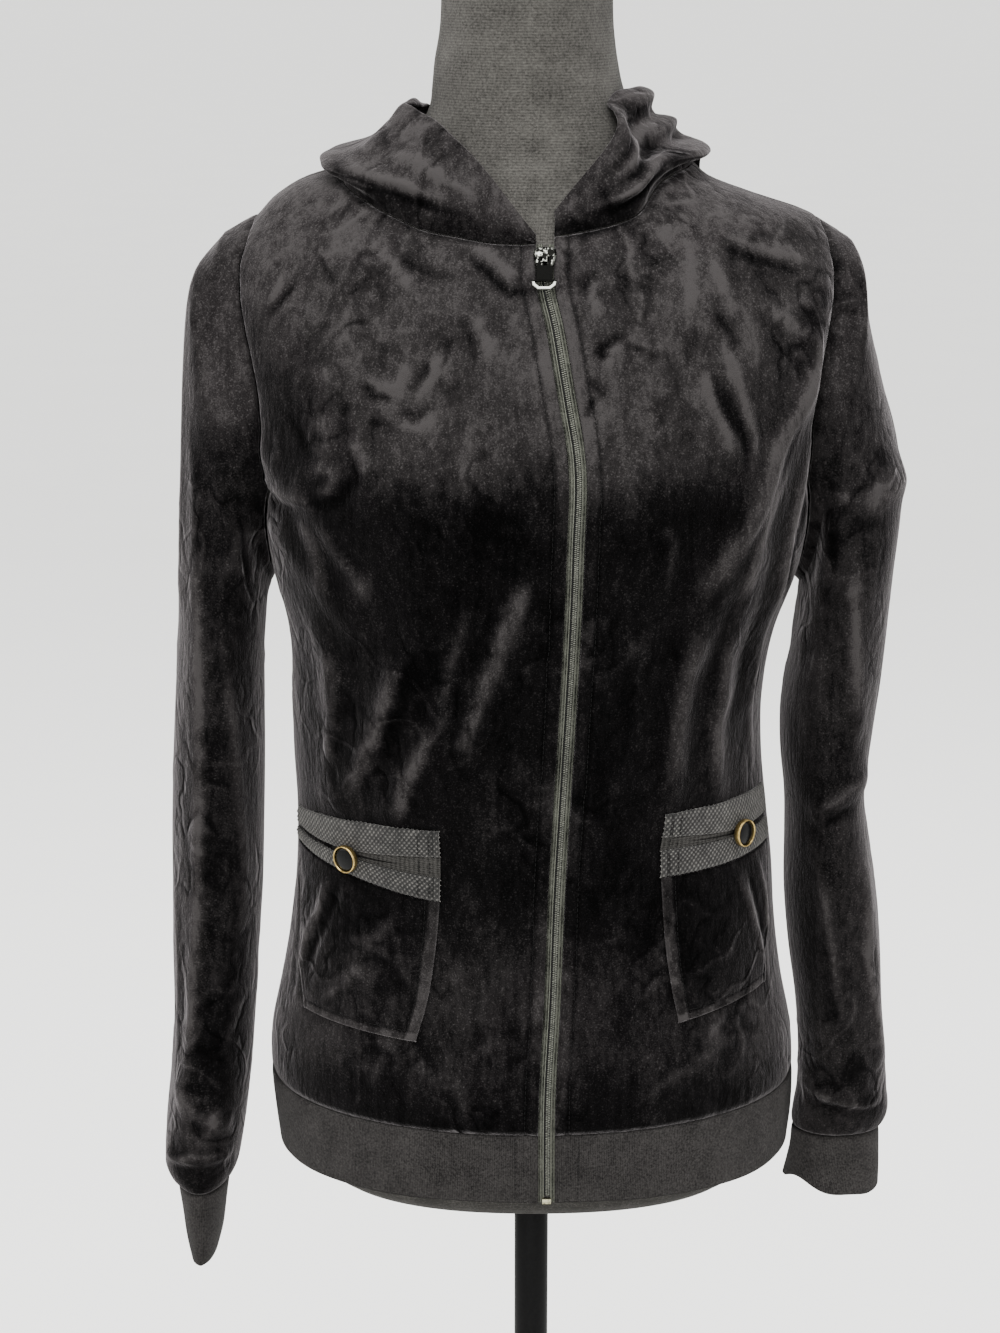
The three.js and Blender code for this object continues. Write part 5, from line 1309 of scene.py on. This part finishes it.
# Pockets: patch, lower braid, plain strip and upper braid, each made from the panel's points
for side in ("left", "right"):
    def lifted(first_i, last_i, first_j, last_j, per_i, per_j, fine=1.0):
        rows = steps(first_j, last_j, per_j)
        columns = steps(first_i, last_i, per_i)
        angle, z, points, nap_and_painted_light = panel(side, rows, columns, fine)
        return angle, z, points, facing(points), nap_and_painted_light

    angle, z, points, out, nap_and_painted_light = lifted(3, 9, 2, 6, 12, 22, 0.5)
    tall, wide = points.shape[:2]
    across = np.linspace(0, 1, wide)[None, :]
    up = np.linspace(0, 1, tall)[:, None]
    inner = edge_distance(points, "first_column")
    outer = edge_distance(points, "last_column")
    low = edge_distance(points, "first_row")
    puff = 2.4 * np.sin(math.pi * across) ** 0.8 * np.sin(math.pi * up) ** 0.7
    band = 0.45 * (1 / (1 + np.exp((inner - 7.5) / 0.5))) - 0.5 * np.exp(-((inner - 7.8) / 0.9) ** 2)
    hem = -0.45 * np.exp(-((low - 6.5) / 0.9) ** 2) - 0.4 * np.exp(-((outer - 4.5) / 0.9) ** 2)
    fold = creases(POCKET_CREASES[side], angle, z, 2.6, 1)
    edge = -0.9 * np.exp(-(np.minimum(np.minimum(inner, outer), low) / 1.0) ** 2)
    points = points + out * (SEAM_GAP + 1.9 + puff + band + hem + fold + edge)[..., None]
    # Pocket nap: a lighter band along the inner edge and the hem, painted highlights on fold ridges, painted
    # shade in fold troughs and in the two stitch grooves, lighter along the inner and lower edges
    nap_and_painted_light = nap_and_painted_light - 0.14 + 0.42 / (1 + np.exp((inner - 7.5) / 0.6)) + 0.3 * np.clip(fold, -1.5, 1.6)
    nap_and_painted_light = nap_and_painted_light + 0.25 * np.exp(-(np.minimum(inner, low) / 1.3) ** 2)
    nap_and_painted_light = nap_and_painted_light - 0.25 * np.exp(-((inner - 7.8) / 0.9) ** 2)
    nap_and_painted_light = nap_and_painted_light + 0.3 / (1 + np.exp((low - 6.5) / 0.8)) - 0.2 * np.exp(-((low - 6.5) / 0.9) ** 2)
    name = f"pocket_{side}"
    add_shell(name, points, 1.9, "velour", nap_and_painted_light=nap_and_painted_light)
    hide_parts(name)
    out = facing(points)
    column = int(np.argmin(abs(inner[tall // 2] - 7.8)))
    seam_lines += stitch_runs(points[2:, column], out[2:, column])
    row = int(np.argmin(abs(low[:, wide // 2] - 6.5)))
    seam_lines += stitch_runs(points[row, column:-4], out[row, column:-4])

    for part, first_j, last_j in (("lower", 6, 7), ("upper", 8, 9)):
        angle, z, points, out, nap_and_painted_light = lifted(3, 9, first_j, last_j, 27, 30, 0.5)
        u = np.concatenate([[0], np.cumsum(np.linalg.norm(np.diff(points[15], axis=0), axis=-1))])[None, :]
        wide = np.linalg.norm(points[-1] - points[0], axis=-1)[None, :]
        v = np.linspace(0, 1, len(points))[:, None] * wide
        cell = np.cos(2 * math.pi * u / 3.1) * np.cos(2 * math.pi * v / 3.5)
        loose = noise(points, 2.2, 81 + first_j)
        raised = np.clip(cell, -0.4, 1) + 0.12 * loose
        dome = -1.0 * abs(2 * v / wide - 1) ** 5
        end = -0.7 * np.exp(-((u - 4.2) / 0.6) ** 2) - 0.5 * np.exp(-(u / 0.8) ** 2)
        points = points + out * (SEAM_GAP + 2.35 + 0.5 * raised + dome + end)[..., None]
        # Braid nap: painted highlights on the raised cells and along the end edge, painted shade in the
        # groove near the end
        nap_and_painted_light = 0.16 + 0.85 * np.clip(cell, 0, 1) ** 0.8 + 0.15 * loose - 0.35 * np.exp(-((u - 4.2) / 0.6) ** 2)
        nap_and_painted_light = nap_and_painted_light + 0.35 * np.exp(-(u / 0.7) ** 2)
        name = f"trim_{part}_{side}"
        add_shell(name, points, 2.3, "braid", nap_and_painted_light=nap_and_painted_light)
        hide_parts(name)

    # Plain strip, with the pocket's slit running into it from the button
    angle, z, points, out, nap_and_painted_light = lifted(3, 6.6, 7, 8, 30, 34, 0.5)
    wide = np.linalg.norm(points[-1] - points[0], axis=-1)[None, :]
    v = np.linspace(0, 1, len(points))[:, None] * wide
    column = np.linspace(3, 6.6, points.shape[1])[None, :]
    slit_half = 0.25 + 1.3 * np.clip((column - 4.4) / 2.2, 0, 1) ** 0.8
    slit = np.exp(-((v - wide * 0.5) / slit_half) ** 4) * np.clip((column - 4.1) * 2.5, 0, 1)
    ribs = 0.18 * np.cos(2 * math.pi * v / 1.5)
    points = points + out * (SEAM_GAP + 1.1 + ribs - 0.85 * slit)[..., None]
    name = f"trim_strip_{side}"
    # Painted shade in the slit and painted highlights on the rib crests
    add_shell(name, points, 0.6, "strip", nap_and_painted_light=0.42 - 0.9 * slit + 0.5 * ribs)
    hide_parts(name)

    # Double row of stitches down the braids' inner end
    for across in (3.3, 3.62):
        for first, last, rise in ((6.08, 6.92, 3.0), (7.08, 7.92, 1.6), (8.08, 8.92, 3.0)):
            angle, z, points, nap_and_painted_light = panel(side, steps(first, last, 20), np.array([across]), 0.5)
            raised = points + body_normal(angle, z) * rise
            trim_lines += stitch_runs(raised[:, 0], body_normal(angle, z)[:, 0], 1.9, 0.7)

    spot_angle, spot_z = BUTTONS[side]
    axis = body_normal(np.array(spot_angle), np.array(spot_z))
    seat = body(np.array(spot_angle), np.array(spot_z)) + axis * (SEAM_GAP + 2.6 + 0.75)
    rim_piece = turned(f"button_rim_{side}", BUTTON_RIM, 56, seat, axis, "brass")
    dome_piece = turned(f"button_dome_{side}", BUTTON_DOME, 56, seat, axis, "black")
    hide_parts(f"button_rim_{side}")
    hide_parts(f"button_dome_{side}")


# Zip: two tapes, a dark chain and its cord with teeth
def zip_point(across, z):
    left = smooth_body(zip_angle("left", z), z)
    right = smooth_body(zip_angle("right", z), z)
    share = ((across + ZIP_HALF) / (2 * ZIP_HALF))[..., None]
    return mix(right, left, share)


def zip_grid(across, z):
    across, z = np.meshgrid(across, z)
    points = zip_point(across, z)
    up = zip_point(0 * z, z + 2) - zip_point(0 * z, z - 2)
    return points, unit(np.cross(np.array([1.0, 0, 0]), up)), across


ZIP_TOP = FRONT["right"][-1, 0, 1]
for side, low, high in (("left", 1.9, 5.0), ("right", -5.0, -1.5)):
    points, out, across = zip_grid(np.linspace(low, high, 13), np.linspace(BAND_END_Z + 1, ZIP_TOP, 500))
    inside = 1.9 if side == "left" else -1.5
    cord = 0.75 * np.exp(-((abs(across - inside) - 0.5) / 0.45) ** 2)
    points = points + out * (cord - 0.4)[..., None]
    name = f"zip_tape_{side}"
    light = np.exp(-((abs(across - inside) - 0.55) / 0.36) ** 2)
    light = light + 0.4 * np.exp(-((abs(across - inside) - 2.3) / 0.35) ** 2)
    nap_and_painted_light = 0.2 + 0.5 * light
    add_shell(name, points, 1.0, "tape", nap_and_painted_light=nap_and_painted_light)
    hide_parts(name)
chain_z = np.linspace(BAND_END_Z + 7, SLIDER_Z - 8.5, 430)
points, out, across = zip_grid(np.linspace(-1.8, 2.1, 9), chain_z)
chain = add_shell("zip_coil", points + out * 0.35, 0.9, "coil")
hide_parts("zip_coil")
points, out, across = zip_grid(np.linspace(-0.55, 1.75, 9), chain_z)
dome = 0.75 * np.sqrt(np.clip(1 - ((across - 0.6) / 1.25) ** 2, 0, 1))
add_shell("zip_cord", points + out * (0.45 + dome)[..., None], 0.5, "tape", nap_and_painted_light=0.2 + 0 * across)
teeth = []
tooth_z = np.arange(BAND_END_Z + 8, SLIDER_Z - 9, 1.15)
for low, high, shift in ((-0.75, 0.75, 0.0), (0.45, 1.95, 0.55)):
    start, out, across = zip_grid(np.array([low]), tooth_z + shift)
    end, out, across = zip_grid(np.array([high]), tooth_z + shift)
    for a, b, up in zip(start[:, 0], end[:, 0], out[:, 0]):
        teeth.append((a + up * 0.95, b + up * 0.95, up))
add_stitches("zip_teeth", teeth, 0.34, "tooth")
add_stitches("seam_stitching", seam_lines, 0.2, "thread")
add_stitches("trim_stitching", trim_lines, 0.32, "thread")

# Form under the cloth, with its cap, pole and base
FORM_ROWS = np.concatenate([np.linspace(786, 1300, 110), np.linspace(1303, 1464, 60)])


def form_ring(z, share):
    turns = np.arange(0, 360, 2.5)
    z = np.full(turns.shape, z)
    inside = smooth_body(turns, z) - smooth_normal(turns, z) * read(FORM_ROOM, z)[..., None]
    if share < 1:
        inside = np.stack([inside[:, 0] * share, 10 + (inside[:, 1] - 10) * share, z], -1)
    return inside


low_z = np.linspace(712, 768, 29)
low_share = read(sorted(FORM_END), low_z)
rings = [form_ring(z, share) for z, share in zip(low_z, low_share)]
rings += [form_ring(z, 1) for z in FORM_ROWS]
rings = np.array(rings)
rings[-1, :, 2] = NECK_TOP_Z
turns = np.arange(0, 360, 2.5)
sides = np.exp(-((abs(np.where(turns > 180, turns - 360, turns)) - 90) / 2.6) ** 2)
inward = rings - rings.mean(1, keepdims=True)
inward[..., 2] = 0
rings = rings + unit(inward) * (0.7 * sides)[None, :, None] * (rings[..., 2:] > 1380)


def closed_stack(name, rings, look, nap_and_painted_light=None):
    tall, wide = rings.shape[:2]
    index = np.arange(tall * wide).reshape(tall, wide)
    ahead = np.roll(index, -1, 1)
    faces = np.stack([index[:-1], ahead[:-1], ahead[1:], index[1:]], -1).reshape(-1, 4).tolist()
    faces.append(index[0, ::-1].tolist())
    faces.append(index[-1].tolist())
    along = np.concatenate([[0], np.cumsum(np.linalg.norm(np.diff(rings[tall // 2], axis=0), axis=-1))])
    uv = np.stack([np.tile(along, (tall, 1)), rings[..., 2]], -1).reshape(-1, 2)
    return add_mesh(name, rings.reshape(-1, 3), faces, look, uv, None if nap_and_painted_light is None else nap_and_painted_light.ravel())


# Painted shade on the form's jersey, darker from z 1000 down to z 900 and below, under the hoodie
torso = closed_stack("form_torso", rings, "jersey", 0.42 - 0.34 * np.clip((1000 - rings[..., 2]) / 100, 0, 1))
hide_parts("form_torso")
top = rings[-1].copy()
cap_rings = []
CAP_SECTION = [(1.0, 1464.3), (1.02, 1464.8), (1.02, 1467.6), (1.01, 1469.2), (0.98, 1470.2), (0.9, 1470.3)]
for share, z in CAP_SECTION:
    ring = top * [share, share, 0] + [-4.5 * (1 - share), 8 * (1 - share), z]
    cap_rings.append(ring)
cap = closed_stack("form_neck_cap", np.array(cap_rings), "base")
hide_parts("form_neck_cap")
POLE = [(0, 10.3), (10.4, 10.3), (11, 10.9), (11, 400), (11, 711.1), (10.4, 711.7), (0, 711.7)]
pole = turned("form_pole", POLE, 64, (0, 0, 0), (0, 0, 1), "pole")
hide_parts("form_pole")
FOOT = [(0, 0), (153.5, 0), (155, 1.2), (155, 6.8), (154.2, 8.6), (152.5, 9.6), (150, 10), (60, 10), (0, 10)]
foot = turned("form_base", FOOT, 128, (0, 0, 0), (0, 0, 1), "base")
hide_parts("form_base")

# The hard zip pieces keep their frame shapes, with rounded edges
for name, look in (("zip_slider", "nickel"), ("zip_pull", "pull"), ("zip_stop", "bright")):
    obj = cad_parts[name]
    for slot in obj.material_slots:
        slot.material = LOOKS[look]
    edge = obj.modifiers.new("edge", "BEVEL")
    edge.width = 0.00025
    edge.segments = 2
    edge.angle_limit = math.radians(35)

# Floor, light and camera
def plane(name, size, z, look):
    points = [(-size, -size, z), (size, -size, z), (size, size, z), (-size, size, z)]
    mesh = bpy.data.meshes.new(name)
    mesh.from_pydata(points, [], [[0, 1, 2, 3]])
    obj = bpy.data.objects.new(name, mesh)
    bpy.context.scene.collection.objects.link(obj)
    mesh.materials.append(look)
    return obj


material, tree, shader = start_look("floor", Roughness=0.9, Specular_IOR_Level=0.1)
grain = noise_node(tree, object_place(tree), 3.0, 2.0)
colour = ramp(tree, grain, (0.2, (0.92, 0.915, 0.9)), (0.8, (0.94, 0.935, 0.92)))
tree.links.new(colour, shader.inputs["Base Color"])
plane("floor", 600.0, -0.0005, material)


def area_light(name, place, target, size, power, colour=(1, 1, 1)):
    data = bpy.data.lights.new(name, "AREA")
    data.shape = "RECTANGLE"
    data.size, data.size_y = size
    data.energy = power
    data.color = colour
    obj = bpy.data.objects.new(name, data)
    obj.location = place
    way = np.array(target, float) - np.array(place, float)
    tilt = math.atan2(math.hypot(way[0], way[1]), -way[2])
    obj.rotation_euler = (tilt, 0, math.atan2(way[1], way[0]) - math.pi / 2)
    bpy.context.scene.collection.objects.link(obj)


area_light("key", (-0.15, -0.75, 3.4), (0, -0.05, 1.2), (2.0, 1.3), 120)
area_light("front", (-0.6, -3.2, 2.3), (0, 0, 1.1), (2.6, 1.8), 30)
area_light("left", (-2.6, -0.2, 2.0), (0, 0, 1.0), (1.2, 1.8), 22)
area_light("right", (2.6, -0.1, 2.0), (0, 0, 1.0), (1.2, 1.8), 16)
area_light("back", (0.3, 2.4, 2.9), (0, 0, 1.1), (2.4, 1.4), 60)

world = bpy.data.worlds.new("studio")
bpy.context.scene.world = world
world.use_nodes = True
background = world.node_tree.nodes["Background"]
background.inputs["Color"].default_value = (0.98, 0.985, 0.975, 1)
background.inputs["Strength"].default_value = 1.9

camera_data = bpy.data.cameras.new("camera")
camera_data.lens = 70.2
camera_data.sensor_width = 36
camera = bpy.data.objects.new("camera", camera_data)
camera.location = (-0.0206, -1.55, 1.491)
camera.rotation_euler = (math.radians(90 - 15.8), 0, 0)
bpy.context.scene.collection.objects.link(camera)
bpy.context.scene.camera = camera
